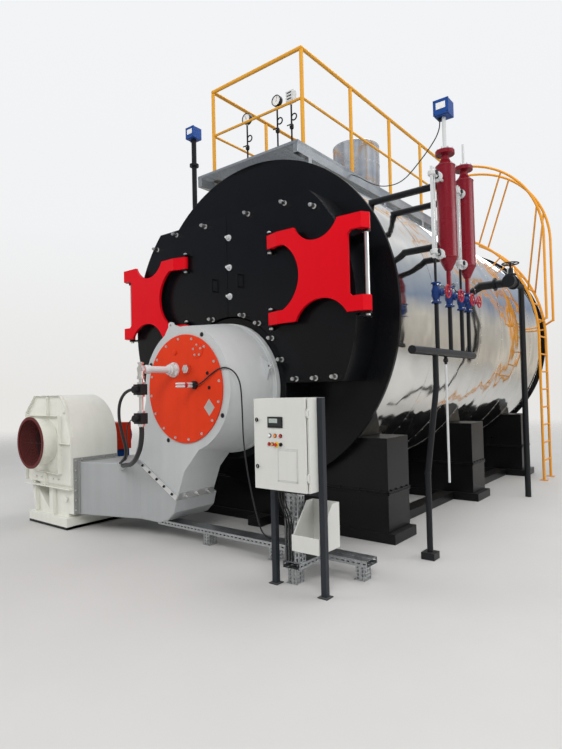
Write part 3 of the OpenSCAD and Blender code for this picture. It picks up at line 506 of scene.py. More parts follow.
def softened(node, finish, width, steps):
    mesh = cad[node].data.copy()
    mesh.materials.clear()
    mesh.materials.append(finish)
    work = bmesh.new()
    work.from_mesh(mesh)
    bmesh.ops.remove_doubles(work, verts=work.verts, dist=2e-5)
    bmesh.ops.dissolve_limit(work, angle_limit=math.radians(0.3), verts=work.verts, edges=work.edges)
    if node == "fan_stand":
        everything = work.verts[:] + work.edges[:] + work.faces[:]
        bmesh.ops.bisect_plane(work, geom=everything, plane_co=(0, 0, RAIL_TOP), plane_no=(0, 0, 1))
    for face in work.faces:
        face.smooth = True
        face.material_index = 0
    work.to_mesh(mesh)
    work.free()
    piece = rounded(placed(node + "_piece", mesh), width, steps)
    return belongs(piece, cad[node]["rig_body"], slot_of[node], node)


pieces = {}
for finish, width, steps, nodes in (
        (polished_sheet, 0.0, 1, "shell"),
        (front_black, 0.004, 2, "front_plate rear_plate rear_cover"),
        (sooted_steel, 0.0, 1, "tube_plate"),
        (front_black, 0.003, 1, "smokebox"),
        (front_black, 0.003, 2, "door_left door_right"),
        (arm_red, 0.004, 3, "arm_left arm_right"),
        (bright_steel, 0.002, 1, "hinge_rods"),
        (front_black, 0.004, 1, "burner_mouth"),
        (cast_grey, 0.006, 2, "burner_neck"),
        (cast_grey, 0.014, 4, "burner_housing"),
        (cover_orange, 0.004, 3, "burner_cover"),
        (bright_steel, 0.004, 2, "sight_plug"),
        (duct_grey, 0.010, 3, "air_duct"),
        (fan_cream, 0.006, 2, "fan_scroll"),
        (fan_cream, 0.002, 1, "fan_inlet"),
        (inlet_maroon, 0.003, 2, "inlet_ring"),
        (fan_cream, 0.004, 2, "fan_stand"),
        (guard_orange, 0.02, 4, "shaft_guard"),
        (base_black, 0.004, 2, "saddles"),
        (base_black, 0.005, 2, "base_pads base_beams"),
        (zinc_coat, 0.004, 2, "walkway_beams"),
        (rail_yellow, 0.002, 1, "rail_posts"),
        (rail_yellow, 0.0, 1, "guard_rails"),
        (ladder_orange, 0.002, 1, "ladder_stiles ladder_rungs"),
        (ladder_orange, 0.0, 1, "ladder_rails"),
        (pipe_black, 0.003, 1, "gauge_manifold"),
        (lagging_sheet, 0.004, 2, "outlet_stub"),
        (column_red, 0.006, 3, "water_columns"),
        (pipe_black, 0.0, 1, "column_pipes"),
        (pipe_black, 0.003, 1, "drain_pipes"),
        (pipe_black, 0.0, 1, "feed_pipe"),
        (cabinet_cream, 0.003, 2, "cabinet_body cabinet_door"),
        (post_grey, 0.003, 2, "cabinet_stand"),
        (cabinet_cream, 0.002, 2, "file_holder"),
        (switch_white, 0.008, 3, "pressure_switches")):
    for node in nodes.split():
        pieces[node] = softened(node, finish, width, steps)


def second_tone(node, finish, where):
    mesh = pieces[node].data
    mesh.materials.append(finish)
    for face in mesh.polygons:
        face.material_index = 1 if where(face.center) else 0
    print(node, "faces in its second tone:", sum(face.material_index for face in mesh.polygons))


second_tone("hinge_rods", front_black, lambda at: math.hypot(abs(at.x) - ROD_X, at.y - ROD_Y) > ROD_R)
second_tone("column_pipes", switch_white, lambda at: at.x > GLASS_SIDE_X)
second_tone("fan_stand", base_black, lambda at: at.z < RAIL_TOP + 0.0001)
print("softened:", len(pieces), "faces:", sum(len(p.data.polygons) for p in pieces.values()))

# %% [markdown]
# The parts that the CAD leaves plain are built here from three kinds of stock, as a workshop would: turned
# stock is a profile spun round an axis, bar stock is a section pushed along a path, and plate is an outline
# with a thickness. Each piece collects its shapes in one mesh, with one finish per index, and is rounded in
# the same way where its edges show.

# %% Turned, bar and plate stock
FRONT, BACK, LEFT, RIGHT = (0, -1, 0), (0, 1, 0), (-1, 0, 0), (1, 0, 0)
UP, DOWN = (0, 0, 1), (0, 0, -1)


def around(count):
    return [2 * math.pi * k / count for k in range(count)]


def circle(centre, side, other, radius, count):
    centre, side, other = Vector(centre), Vector(side), Vector(other)
    return [centre + (side * math.cos(a) + other * math.sin(a)) * radius for a in around(count)]


def on_circle(cx, cz, radius, angles, y):
    return [(cx + radius * math.cos(math.radians(a)), y, cz + radius * math.sin(math.radians(a)))
            for a in angles]


def turned(work, profile, at, axis, sides=32, mat=0, capped=True):
    way = Vector(axis).normalized()
    side = way.orthogonal().normalized()
    rings = []
    for radius, along in profile:
        centre = Vector(at) + way * along
        rim = circle(centre, side, way.cross(side), radius, sides) if radius > 1e-6 else [centre]
        rings.append([work.verts.new(spot) for spot in rim])
    faces = []
    for low, high in zip(rings, rings[1:]):
        for i in range(sides):
            j = (i + 1) % sides
            corners = [low[i % len(low)], low[j % len(low)], high[j % len(high)], high[i % len(high)]]
            corners = [c for n, c in enumerate(corners) if c not in corners[:n]]
            if len(corners) > 2:
                faces.append(work.faces.new(corners))
    if capped:
        faces += [work.faces.new(ring) for ring in (rings[0], rings[-1]) if len(ring) > 1]
    for face in faces:
        face.material_index = mat


def rod(work, radius, length, at, axis, sides=32, mat=0):
    turned(work, [(radius, 0.0), (radius, length), (0.0, length)], at, axis, sides, mat)


def band(work, profile, at, axis, sides, mat=0):
    turned(work, profile, at, axis, sides, mat, capped=False)
    bmesh.ops.remove_doubles(work, verts=work.verts, dist=1e-6)


def bent(work, path, radius, sides=12, mat=0, closed=False):
    points = [Vector(p) for p in path]
    count = len(points)
    rings, side = [], None
    for i, here in enumerate(points):
        back = points[(i - 1) % count] if closed or i else here
        front = points[(i + 1) % count] if closed or i < count - 1 else here
        way = (front - back).normalized()
        side = way.orthogonal().normalized() if side is None else (side - way * side.dot(way)).normalized()
        rings.append([work.verts.new(p) for p in circle(here, side, way.cross(side), radius, sides)])
    faces = []
    pairs = list(zip(rings, rings[1:])) + ([(rings[-1], rings[0])] if closed else [])
    for low, high in pairs:
        for k in range(sides):
            m = (k + 1) % sides
            faces.append(work.faces.new((low[k], low[m], high[m], high[k])))
    if not closed:
        faces += [work.faces.new(rings[0]), work.faces.new(rings[-1])]
    for face in faces:
        face.material_index = mat


def plate(work, outline, lift, mat=0):
    low = [work.verts.new(Vector(p)) for p in outline]
    high = [work.verts.new(Vector(p) + Vector(lift)) for p in outline]
    faces = [work.faces.new(low), work.faces.new(high)]
    for i in range(len(low)):
        j = (i + 1) % len(low)
        faces.append(work.faces.new((low[i], low[j], high[j], high[i])))
    for face in faces:
        face.material_index = mat


def brick(work, low, high, mat=0):
    (x0, y0, z0), (x1, y1, z1) = low, high
    plate(work, [(x0, y0, z0), (x1, y0, z0), (x1, y1, z0), (x0, y1, z0)], (0, 0, z1 - z0), mat)


def piece_of(name, work, finishes, slot, nodes=(), width=0.0, steps=2, body="plant"):
    bmesh.ops.recalc_face_normals(work, faces=work.faces)
    for face in work.faces:
        face.smooth = True
    mesh = bpy.data.meshes.new(name)
    work.to_mesh(mesh)
    work.free()
    for finish in finishes:
        mesh.materials.append(finish)
    return belongs(rounded(placed(name, mesh), width, steps), body, slot, *nodes)


print("stock ready")

# %% [markdown]
# Small parts repeat by the hundred, and geometry node trees grow them. Each tree takes points that carry the
# direction they face, puts its part on each, and has its sizes as named inputs, so each joint has its own.

# %% Tree helpers
def new_tree(name, sizes):
    tree = bpy.data.node_groups.new(name, "GeometryNodeTree")
    tree.interface.new_socket("Points", in_out="INPUT", socket_type="NodeSocketGeometry")
    for label, value in sizes:
        tree.interface.new_socket(label, in_out="INPUT", socket_type="NodeSocketFloat").default_value = value
    tree.interface.new_socket("Finish", in_out="INPUT", socket_type="NodeSocketMaterial")
    tree.interface.new_socket("Made", in_out="OUTPUT", socket_type="NodeSocketGeometry")
    given = tree.nodes.new("NodeGroupInput")
    return tree, given, {label: given.outputs[label] for label, _ in sizes}


def carried(tree, label):
    return result(put(tree, "GeometryNodeInputNamedAttribute", {"data_type": "FLOAT_VECTOR"}, Name=label))


def leaning(tree):
    outward = carried(tree, "out")
    return result(put(tree, "FunctionNodeAlignRotationToVector", {"axis": "Z"}, Vector=outward))


def joined(tree, *shapes):
    both = put(tree, "GeometryNodeJoinGeometry")
    for shape in shapes:
        tree.links.new(shape, both.inputs[0])
    return result(both)


def spread(tree, given, unit, lean, **more):
    spots = put(tree, "GeometryNodeMeshToPoints", Mesh=given.outputs["Points"])
    field = put(tree, "GeometryNodeInstanceOnPoints", Points=result(spots), Instance=unit, Rotation=lean,
                **more)
    real = put(tree, "GeometryNodeRealizeInstances", Geometry=result(field))
    flat = put(tree, "GeometryNodeSetMaterial", Geometry=result(real), Material=given.outputs["Finish"])
    tree.links.new(result(flat), tree.nodes.new("NodeGroupOutput").inputs[0])
    return tree


def math_step(tree, operation, a, b):
    step = put(tree, "ShaderNodeMath", {"operation": operation})
    for spot, value in enumerate((a, b)):
        if isinstance(value, bpy.types.NodeSocket):
            tree.links.new(value, step.inputs[spot])
        else:
            step.inputs[spot].default_value = value
    return result(step)


def socket_of(tree, label):
    return next(i.identifier for i in tree.interface.items_tree
                if i.item_type == "SOCKET" and i.in_out == "INPUT" and i.name == label)


def grown(name, tree, spots, layers, sizes, slot, finish, body="plant", nodes=()):
    mesh = bpy.data.meshes.new(name)
    mesh.from_pydata([tuple(p) for p in spots], [], [])
    for label, values in layers.items():
        layer = mesh.attributes.new(label, "FLOAT_VECTOR", "POINT")
        for item, value in zip(layer.data, values):
            item.vector = value
    piece = placed(name, mesh)
    grow = piece.modifiers.new("grow", "NODES")
    grow.node_group = tree
    for label, value in sizes.items():
        grow[socket_of(tree, label)] = value
    grow[socket_of(tree, "Finish")] = finish
    return belongs(own_mesh(piece), body, slot, *nodes)


print("tree helpers ready")

# %% [markdown]
# A bolt is a washer, a hexagon nut and the end of its stud. Every nut is turned by its own random angle from
# a fixed seed.

# %% Bolt tree
BOLT_SIZES = ("Nut radius", "Nut height", "Washer radius", "Washer height", "Stud radius", "Stud length")


def drum(tree, sides, radius, depth, base):
    solid = put(tree, "GeometryNodeMeshCylinder", Vertices=sides, Radius=radius, Depth=depth)
    middle = math_step(tree, "ADD", base, math_step(tree, "MULTIPLY", depth, 0.5))
    place = put(tree, "ShaderNodeCombineXYZ", Z=middle)
    return result(put(tree, "GeometryNodeTransform", Geometry=result(solid, "Mesh"),
                      Translation=result(place)))


def bolt_tree():
    usual = zip(BOLT_SIZES, (0.018, 0.014, 0.022, 0.003, 0.010, 0.030))
    tree, given, size = new_tree("bolt_field", list(usual))
    washer = drum(tree, 16, size["Washer radius"], size["Washer height"], 0.0)
    nut = drum(tree, 6, size["Nut radius"], size["Nut height"], size["Washer height"])
    stud = drum(tree, 10, size["Stud radius"], size["Stud length"], 0.0)
    angle = result(put(tree, "FunctionNodeRandomValue", {"data_type": "FLOAT"}, Min=0.0, Max=6.28, Seed=7))
    spin = put(tree, "FunctionNodeAxisAngleToRotation", Axis=(0.0, 0.0, 1.0), Angle=angle)
    lean = put(tree, "FunctionNodeRotateRotation", {"rotation_space": "LOCAL"}, Rotation=leaning(tree),
               Rotate_By=result(spin))
    return spread(tree, given, joined(tree, stud, nut, washer), result(lean))


bolts = bolt_tree()


def bolted(name, spots, sizes, facing=FRONT, body="plant", slot="bare_steel", finish=bright_steel):
    ways = facing if isinstance(facing, list) else [facing] * len(spots)
    return grown(name, bolts, spots, {"out": ways}, dict(zip(BOLT_SIZES, sizes)), slot, finish, body)


print("bolt tree nodes:", len(bolts.nodes))

# %% [markdown]
# The door leaves are pulled onto their seal by studs: a row round the arch over the burner, a row along the
# bottom edge, more on the round edge, and three big clamps down the split in the middle. The nuts are bright
# and long, on washers, and each stud stands out a little past its nut.

# %% Door studs
LEAF_FACE = -0.400
AXIS_Z = 2.260
SIDES = ((1, "right"), (-1, "left"))
arch_row = [(0.227, 2.287), (0.435, 2.185), (0.604, 2.02), (0.72, 1.80)]
bottom_row = [(0.894, 1.605), (1.121, 1.605), (1.337, 1.612)]
edge_stud = (1.5 * math.cos(math.radians(40)), AXIS_Z + 1.5 * math.sin(math.radians(40)))
crown_row = [(0.32, 3.335), (0.80, 3.335)]
leaf_row = arch_row + bottom_row + [edge_stud] + crown_row
for side, hand in SIDES:
    spots = [(side * x, LEAF_FACE, z) for x, z in leaf_row]
    bolted("leaf_studs_" + hand, spots, (0.020, 0.064, 0.026, 0.006, 0.0130, 0.084),
           body="door_" + hand + "_leaf")
spots = [(0.034, LEAF_FACE, z) for z in (3.14, 2.82, 2.51)]
bolted("split_clamps", spots, (0.024, 0.024, 0.034, 0.008, 0.012, 0.056), body="door_right_leaf",
       slot="white_paint", finish=switch_white)
print("studs a leaf:", len(leaf_row))

# %% [markdown]
# The inner pins of the arms end in hexagon heads over and under each ear. The leaf hangs in them, so the
# heads move with the leaf.

# %% Pin heads
PIN_X, PIN_Y = 0.622, -0.434
PIN_HEAD = [(0.024, 0.0), (0.024, 0.016), (0.019, 0.021)]
for side, hand in SIDES:
    work = bmesh.new()
    for low, high in ((2.143, 2.268), (2.901, 3.038)):
        turned(work, PIN_HEAD, (side * PIN_X, PIN_Y, high + 0.0245), UP, 6)
        turned(work, PIN_HEAD, (side * PIN_X, PIN_Y, low - 0.0245), DOWN, 6)
    piece_of("pin_heads_" + hand, work, [bright_steel], "bare_steel", width=0.002,
             body="door_" + hand + "_leaf")
print("pin heads ready")

# %% [markdown]
# The orange cover is a turned plate with sixteen small cap screws near its edge. Near its top a blank with
# five screws covers a spare port, three small plugs close test holes, and a bare plate marks where a rating
# would go. Four black plugs sit in the grey rim outside the cover.

# %% Burner cover fittings
COVER_FACE = -1.016
RIM_FACE = -1.0
BURNER = (-0.032, 1.535)
PORT = (0.175, 1.900)
spots = on_circle(*BURNER, 0.497, [7.5 + 22.5 * n for n in range(16)], COVER_FACE)
bolted("cover_screws", spots, (0.0105, 0.008, 0.014, 0.002, 0.005, 0.012))
spots = on_circle(*PORT, 0.052, [18 + 72 * n for n in range(5)], COVER_FACE - 0.006)
bolted("port_screws", spots, (0.009, 0.007, 0.012, 0.002, 0.004, 0.011))
work = bmesh.new()
rod(work, 0.075, 0.006, (PORT[0], COVER_FACE, PORT[1]), FRONT, 40)
turned(work, [(0.026, 0.0), (0.026, 0.010), (0.016, 0.016), (0.0, 0.016)],
       (-0.151, COVER_FACE, 1.898), FRONT, 24)
piece_of("spare_port", work, [cover_orange], "orange_paint", width=0.0015)
work = bmesh.new()
for x, z in ((0.308, 1.677), (0.330, 1.539)):
    turned(work, [(0.017, 0.0), (0.017, 0.006), (0.011, 0.012), (0.0, 0.013)], (x, COVER_FACE, z), FRONT, 20)
for spot in on_circle(*BURNER, 0.575, (63.5, -26.5, -116.5, 153.5), RIM_FACE):
    turned(work, [(0.022, 0.0), (0.022, 0.005), (0.014, 0.010), (0.0, 0.011)], spot, FRONT, 20)
piece_of("rim_plugs", work, [cap_black], "black_paint", width=0.001)
work = bmesh.new()
half = 0.062
diamond = ((1.15, 0), (0, 1.3), (-1.15, 0), (0, -1.3))
plate(work, [(0.325 + dx * half, COVER_FACE, 1.353 + dz * half) for dx, dz in diamond], (0, -0.0015, 0))
piece_of("rating_blank", work, [strip_steel], "bare_steel")
print("cover fittings ready")

# %% [markdown]
# The gas lance slides in a flanged gland. It is pale painted pipe: a round flange on the cover with its ring
# of screws, a hub, the pipe itself, and a union nut where the gas train joins it.

# %% Gas lance and igniter
LANCE = (-0.160, 1.725)
IGNITER = (0.138, 1.568)
work = bmesh.new()
turned(work, [(0.075, 0.0), (0.075, 0.020), (0.066, 0.030), (0.056, 0.032), (0.055, 0.066), (0.048, 0.070),
              (0.044, 0.070), (0.044, 0.090), (0.033, 0.092), (0.032, 0.300), (0.040, 0.302), (0.042, 0.306),
              (0.042, 0.350), (0.036, 0.356), (0.034, 0.375), (0.0, 0.375)], (LANCE[0], COVER_FACE, LANCE[1]),
       FRONT, 40)
piece_of("gas_lance_piece", work, [switch_white], "white_paint", ("gas_lance",), 0.002)
spots = on_circle(*LANCE, 0.065, range(0, 360, 60), COVER_FACE - 0.024)
bolted("lance_screws", spots, (0.008, 0.006, 0.010, 0.002, 0.004, 0.010))
work = bmesh.new()
turned(work, [(0.040, 0.0), (0.040, 0.026), (0.034, 0.030), (0.034, 0.040), (0.026, 0.044), (0.0, 0.044)],
       (IGNITER[0], COVER_FACE, IGNITER[1]), FRONT, 24, 1)
for dz in (0.013, -0.013):
    turned(work, [(0.011, 0.0), (0.011, 0.170), (0.008, 0.200), (0.0, 0.206)],
           (IGNITER[0], -1.056, IGNITER[1] + dz), FRONT, 20)
rod(work, 0.0245, 0.022, (IGNITER[0], -1.130, IGNITER[1]), FRONT, 24, 2)
piece_of("igniter_piece", work, [switch_white, cap_black, wheel_red], "black_paint", ("igniter",), 0.0015)
print("lance and igniter ready")

# %% [markdown]
# The gas train hangs from the lance: a union tee, two small shut-off valves with black coils, and hoses that
# run down to the duct. The valve bodies are cast, the coils are moulded black blocks with a nut on top, and
# the hoses are the cords made at the start. The black glands of the three power leads under the cabinet are
# made here too.

# %% Gas train
TRAIN = Vector((-0.160, -1.424, 0.0))
VALVE_ZS = (1.535, 1.265)
work = bmesh.new()
turned(work, [(0.036, 0.0), (0.044, 0.004), (0.044, 0.030), (0.036, 0.034), (0.036, 0.052), (0.0, 0.056)],
       (LANCE[0], -1.392, LANCE[1]), FRONT, 6)
turned(work, [(0.030, 0.0), (0.030, 0.050), (0.036, 0.052), (0.036, 0.080), (0.0, 0.080)],
       (TRAIN.x, TRAIN.y, 1.712), DOWN, 24)
turned(work, [(0.024, 0.0), (0.024, 0.040), (0.030, 0.042), (0.030, 0.056), (0.0, 0.060)],
       (TRAIN.x, TRAIN.y, 1.735), UP, 6)
rod(work, 0.020, 0.444, (TRAIN.x, TRAIN.y, 1.640), DOWN, 20)
turned(work, [(0.034, 0.0), (0.034, 0.022), (0.027, 0.026), (0.027, 0.050), (0.0, 0.050)],
       (TRAIN.x, TRAIN.y, 1.236), DOWN, 6)
for z in VALVE_ZS:
    brick(work, (-0.215, -1.470, z - 0.050), (-0.105, -1.392, z + 0.050), 1)
    turned(work, [(0.034, 0.0), (0.034, 0.060), (0.028, 0.066), (0.0, 0.068)],
           (TRAIN.x, -1.450, z), FRONT, 24, 1)
    for dz in (0.050, -0.068):
        rod(work, 0.036, 0.018, (TRAIN.x, TRAIN.y, z + dz), UP, 6, 2)
    turned(work, [(0.014, 0.0), (0.014, 0.012), (0.020, 0.014), (0.020, 0.030), (0.0, 0.033)],
           (-0.215, -1.430, z), LEFT, 16, 2)
for end, root, radius in (((-0.900, -1.114, 0.737), (-0.985, -1.062, 0.712), 0.030),
                          ((-0.920, -1.132, 0.766), (-1.005, -1.060, 0.730), 0.021)):
    way = Vector(end) - Vector(root)
    turned(work, [(radius * 1.2, 0.0), (radius * 1.2, way.length * 0.7), (radius, way.length * 0.8),
                  (radius, way.length), (0.0, way.length)], root, way, 16, 2)
for x in LEAD_XS:
    turned(work, [(0.012, 0.0), (0.012, 0.008), (0.009, 0.010), (0.008, 0.030), (0.0, 0.030)],
           (x, LEAD_Y, 0.760), DOWN, 12, 1)
piece_of("gas_train", work, [bright_steel, cap_black, strip_steel], "black_paint", ("gas_valves",), 0.003)
print("gas train ready")

# %% [markdown]
# The scroll sits on the duct through bolted flanges. Galvanised strips show them: one slants across the
# front of the foot and one runs back along its side with three plugs. A grey angle flange rings the duct
# where it leaves the fan.

# %% Foot and duct flanges
foot_high, foot_low = Vector((-0.852, 0, 0.804)), Vector((-0.179, 0, 0.434))
run = (foot_low - foot_high).normalized()
up = Vector((-run.z, 0, run.x))
work = bmesh.new()
corners = [foot_high - up * 0.010, foot_low - up * 0.010, foot_low + up * 0.042, foot_high + up * 0.042]
plate(work, [(p.x, RIM_FACE, p.z) for p in corners], (0, -0.010, 0))
rise_way = Vector((0.121, 0, 0.287)).normalized()
face_out = Vector((0.921, 0, -0.389))
strip_top = foot_low + rise_way * 0.070
near, far = RIM_FACE, -0.51
side_strip = [(foot_low.x, near, foot_low.z), (foot_low.x, far, foot_low.z),
              (strip_top.x, far, strip_top.z), (strip_top.x, near, strip_top.z)]
plate(work, side_strip, face_out * 0.006)
piece_of("foot_flanges", work, [strip_steel], "grey_paint", width=0.0012)
work = bmesh.new()
brick(work, (-1.556, -1.300, 0.175), (-1.546, -1.250, 0.795))
brick(work, (-1.556, -1.250, 0.750), (-1.546, -0.735, 0.795))
brick(work, (-1.546, -1.258, 0.175), (-1.505, -1.250, 0.750))
brick(work, (-1.546, -1.258, 0.748), (-1.505, -0.735, 0.758))
piece_of("duct_flange", work, [flange_grey], "grey_paint", width=0.0012)
line = [foot_high.lerp(foot_low, t) + up * 0.016 for t in (0.04, 0.21, 0.38, 0.55, 0.72, 0.90)]
spots = [(p.x, RIM_FACE - 0.010, p.z) for p in line]
bolted("foot_bolts", spots, (0.011, 0.009, 0.015, 0.002, 0.006, 0.016), slot="black_paint",
       finish=cap_black)
plug = foot_low + rise_way * 0.036 + face_out * 0.006
bolted("side_plugs", [(plug.x, y, plug.z) for y in (-0.90, -0.75, -0.60)],
       (0.018, 0.012, 0.028, 0.003, 0.009, 0.045), tuple(face_out))
DUCT_SCREW = (0.009, 0.007, 0.012, 0.002, 0.005, 0.012)
bolted("duct_bolts", [(-1.546, -1.279, 0.22 + 0.11 * n) for n in range(6)], DUCT_SCREW, RIGHT)
bolted("duct_top_bolts", [(-1.546, -1.20 + 0.14 * n, 0.777) for n in range(4)], DUCT_SCREW, RIGHT)
print("flanges ready")

# %% [markdown]
# The fan is welded from sheet. Its front sheet is stiffened by flat bars set on edge: a rim along the
# outline, a square frame round the inlet, short struts between them, a band across the foot, and upright
# ribs down to the channel. Each bar is a strip between two points on the sheet, pushed forward by its own
# depth.

# %% Fan ribs
FAN_SHEET = -1.302
STAND_SHEET = -1.290


def rib(work, start_at, stop_at, depth=0.035, thick=0.007, front=FAN_SHEET):
    a, b = Vector((start_at[0], 0, start_at[1])), Vector((stop_at[0], 0, stop_at[1]))
    way = (b - a).normalized()
    across = Vector((-way.z, 0, way.x)) * thick / 2
    outline = [a - across, b - across, b + across, a + across]
    plate(work, [(p.x, front, p.z) for p in outline], (0, -depth, 0))


work = bmesh.new()
rim = [(-2.576, 0.484), (-2.576, 1.288), (-2.358, 1.496), (-1.786, 1.496), (-1.684, 1.376), (-1.564, 1.018),
       (-1.564, 0.484)]
for here, there in zip(rim, rim[1:]):
    rib(work, here, there, 0.030)
frame_box = [(-2.452, 0.62), (-2.452, 1.262), (-1.800, 1.262), (-1.800, 0.60)]
for here, there in zip(frame_box, frame_box[1:] + frame_box[:1]):
    rib(work, here, there, 0.045)
rib(work, (-1.800, 0.950), (-1.568, 0.950))
rib(work, (-2.070, 1.265), (-2.070, 1.492))
rib(work, (-2.452, 0.950), (-2.572, 0.950))
rib(work, (-2.120, 0.455), (-2.120, 0.602))
rib(work, (-2.560, 0.450), (-1.564, 0.450), 0.055, 0.010)
for top, foot in (((-2.340, 0.448), (-2.330, 0.135)), ((-1.936, 0.448), (-1.936, 0.135))):
    rib(work, top, foot, 0.045, 0.008, STAND_SHEET)
turned(work, [(0.0, 0.0), (0.030, 0.0), (0.034, 0.010), (0.034, 0.020), (0.0, 0.020)],
       (-1.700, FAN_SHEET, 0.33), FRONT, 20)
piece_of("fan_ribs", work, [fan_cream], "cream_paint", width=0.0015, steps=1)
spots = on_circle(-2.1, 0.96, 0.50, (12, 22, 32, 42), FAN_SHEET)
spots += [(x, FAN_SHEET, 0.535) for x in (-2.36, -2.24, -1.98, -1.86)]
bolted("fan_screws", spots, (0.010, 0.008, 0.013, 0.002, 0.005, 0.012))
print("fan ribs ready")

# %% [markdown]
# The fan breathes through a short cone with a dark red ring, and dull red lines the cone. Deeper in the mouth
# the liner is a darker purple-grey, which is painted shade and painted reflection. A guard of rings and
# spokes sits in the ring, and behind it the curved blades of the wheel can just be made out.

# %% Fan mouth
MOUTH = (-2.130, 0.960)
GUARD_Y, WHEEL_Y = -1.479, -0.800
work = bmesh.new()
for radius in (0.035, 0.070, 0.105, 0.140, 0.175, 0.210, 0.245):
    bent(work, on_circle(*MOUTH, radius, range(0, 360, 9), -1.475), 0.0014, 5, closed=True)
for tip in on_circle(*MOUTH, 0.262, range(0, 360, 45), GUARD_Y):
    bent(work, [(MOUTH[0], GUARD_Y, MOUTH[1]), tip], 0.0018, 6)
piece_of("mouth_guard", work, [guard_maroon], "dark_red_paint")
work = bmesh.new()
# The deep liner takes the third finish, the darker purple-grey painted shade and painted reflection.
band(work, [(0.2435, 0.0), (0.2405, 0.0), (0.2405, 0.500), (0.2435, 0.500), (0.2435, 0.0)],
     (MOUTH[0], FAN_SHEET, MOUTH[1]), BACK, 64, 2)
band(work, [(0.2755, 0.0), (0.2735, 0.0), (0.2435, 0.188), (0.2455, 0.188), (0.2755, 0.0)],
     (MOUTH[0], -1.490, MOUTH[1]), BACK, 64, 1)
turned(work, [(0.238, 0.0), (0.238, 0.006), (0.0, 0.006)], (MOUTH[0], WHEEL_Y, MOUTH[1]), BACK, 48)
turned(work, [(0.060, 0.0), (0.060, 0.10), (0.050, 0.115), (0.0, 0.120)],
       (MOUTH[0], WHEEL_Y, MOUTH[1]), FRONT, 32)
for a in around(16):
    arc = [(0.105 + 0.13 * t, a + 0.55 * t * t) for t in (0, 0.25, 0.5, 0.75, 1.0)]
    edge = arc + [(r, w + 0.03) for r, w in arc[::-1]]
    outline = [(MOUTH[0] + r * math.cos(w), WHEEL_Y, MOUTH[1] + r * math.sin(w)) for r, w in edge]
    plate(work, outline, (0, -0.15, 0))
piece_of("mouth_inside", work, [cap_black, mouth_maroon, mouth_brown], "cream_paint")
print("mouth ready")

# %% [markdown]
# Bars in a row repeat too. A second tree puts a unit cube on each point and stretches it by the point's own
# size, so a bar that meets the hole round the outlet is simply two shorter bars.

# %% Bar tree
def bar_tree():
    tree, given, size = new_tree("bar_field", [("Plumpness", 1.0)])
    cube = put(tree, "GeometryNodeMeshCube", Size=(1.0, 1.0, 1.0))
    scaled = put(tree, "ShaderNodeVectorMath", {"operation": "SCALE"}, Scale=size["Plumpness"])
    tree.links.new(carried(tree, "size"), scaled.inputs[0])
    return spread(tree, given, result(cube, "Mesh"), leaning(tree), Scale=result(scaled))


bars = bar_tree()
print("bar tree ready")

# %% [markdown]
# The walkway floor is galvanised bar grating. Bearing bars on edge run across at a 34 mm pitch, thin cross
# rods tie them along the way, and a flat band closes the outside and the round hole for the outlet.

# %% Walkway grating
DECK_LOW, DECK_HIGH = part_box("walkway_deck")
OUTLET_Y, HOLE = 2.4, 0.365
BAR_PITCH, ROD_PITCH = 0.034, 0.1
POST_X, POST_Y, POST_PITCH, POST_PLATE = 0.675, 0.110, 1.015, 4.108


def spans(low, high, offset):
    if abs(offset) >= HOLE:
        return [(low, high)]
    half = math.sqrt(HOLE ** 2 - offset ** 2)
    return [(low, -half), (half, high)]


mid_z = (DECK_LOW.z + DECK_HIGH.z) / 2
deep = DECK_HIGH.z - DECK_LOW.z
items = []
for n in range(1, int((DECK_HIGH.y - DECK_LOW.y - 0.02) / BAR_PITCH)):
    y = DECK_LOW.y + BAR_PITCH * n
    for x0, x1 in spans(DECK_LOW.x, DECK_HIGH.x, y - OUTLET_Y):
        items.append((((x0 + x1) / 2, y, mid_z), (x1 - x0, 0.004, deep * 0.98)))
for n in range(1, 15):
    x = DECK_LOW.x + ROD_PITCH * n
    for y0, y1 in spans(DECK_LOW.y - OUTLET_Y, DECK_HIGH.y - OUTLET_Y, x):
        items.append(((x, OUTLET_Y + (y0 + y1) / 2, DECK_HIGH.z - 0.004), (0.006, y1 - y0, 0.006)))
for x in (DECK_LOW.x + 0.003, DECK_HIGH.x - 0.003):
    items.append(((x, (DECK_LOW.y + DECK_HIGH.y) / 2, mid_z), (0.006, DECK_HIGH.y - DECK_LOW.y, deep)))
for y in (DECK_LOW.y + 0.003, DECK_HIGH.y - 0.003):
    items.append(((0, y, mid_z), (DECK_HIGH.x - DECK_LOW.x, 0.006, deep)))
layers = {"size": [extent for _, extent in items], "out": [UP] * len(items)}
grown("walkway_grating", bars, [centre for centre, _ in items], layers, {"Plumpness": 1.0}, "zinc_steel",
      zinc_coat, nodes=("walkway_deck",))
work = bmesh.new()
band(work, [(HOLE, 0.0), (HOLE + 0.006, 0.0), (HOLE + 0.006, deep), (HOLE, deep), (HOLE, 0.0)],
     (0, OUTLET_Y, DECK_LOW.z), UP, 64)
piece_of("grating_ring", work, [zinc_coat], "zinc_steel")
spots = [(side * POST_X + dx, POST_Y + POST_PITCH * n + dy, POST_PLATE) for side in (-1, 1) for n in range(5)
         for dx in (-0.036, 0.036) for dy in (-0.036, 0.036)]
bolted("post_bolts", spots, (0.009, 0.008, 0.012, 0.002, 0.005, 0.014), UP)
print("bars in the grating:", len(items))

# %% [markdown]
# Cable trays are folded from galvanised sheet that is punched with slots all over. A third tree makes one
# punched cell: a small rectangle and a round-ended slot are filled as one face and given a thickness. It
# lays the cells edge to edge, so a wall of tray is a grid of them. Plain covers close two of the runs, and
# each leg has a foot plate.

# %% Slot tree
TRAY_SHEET = 0.002


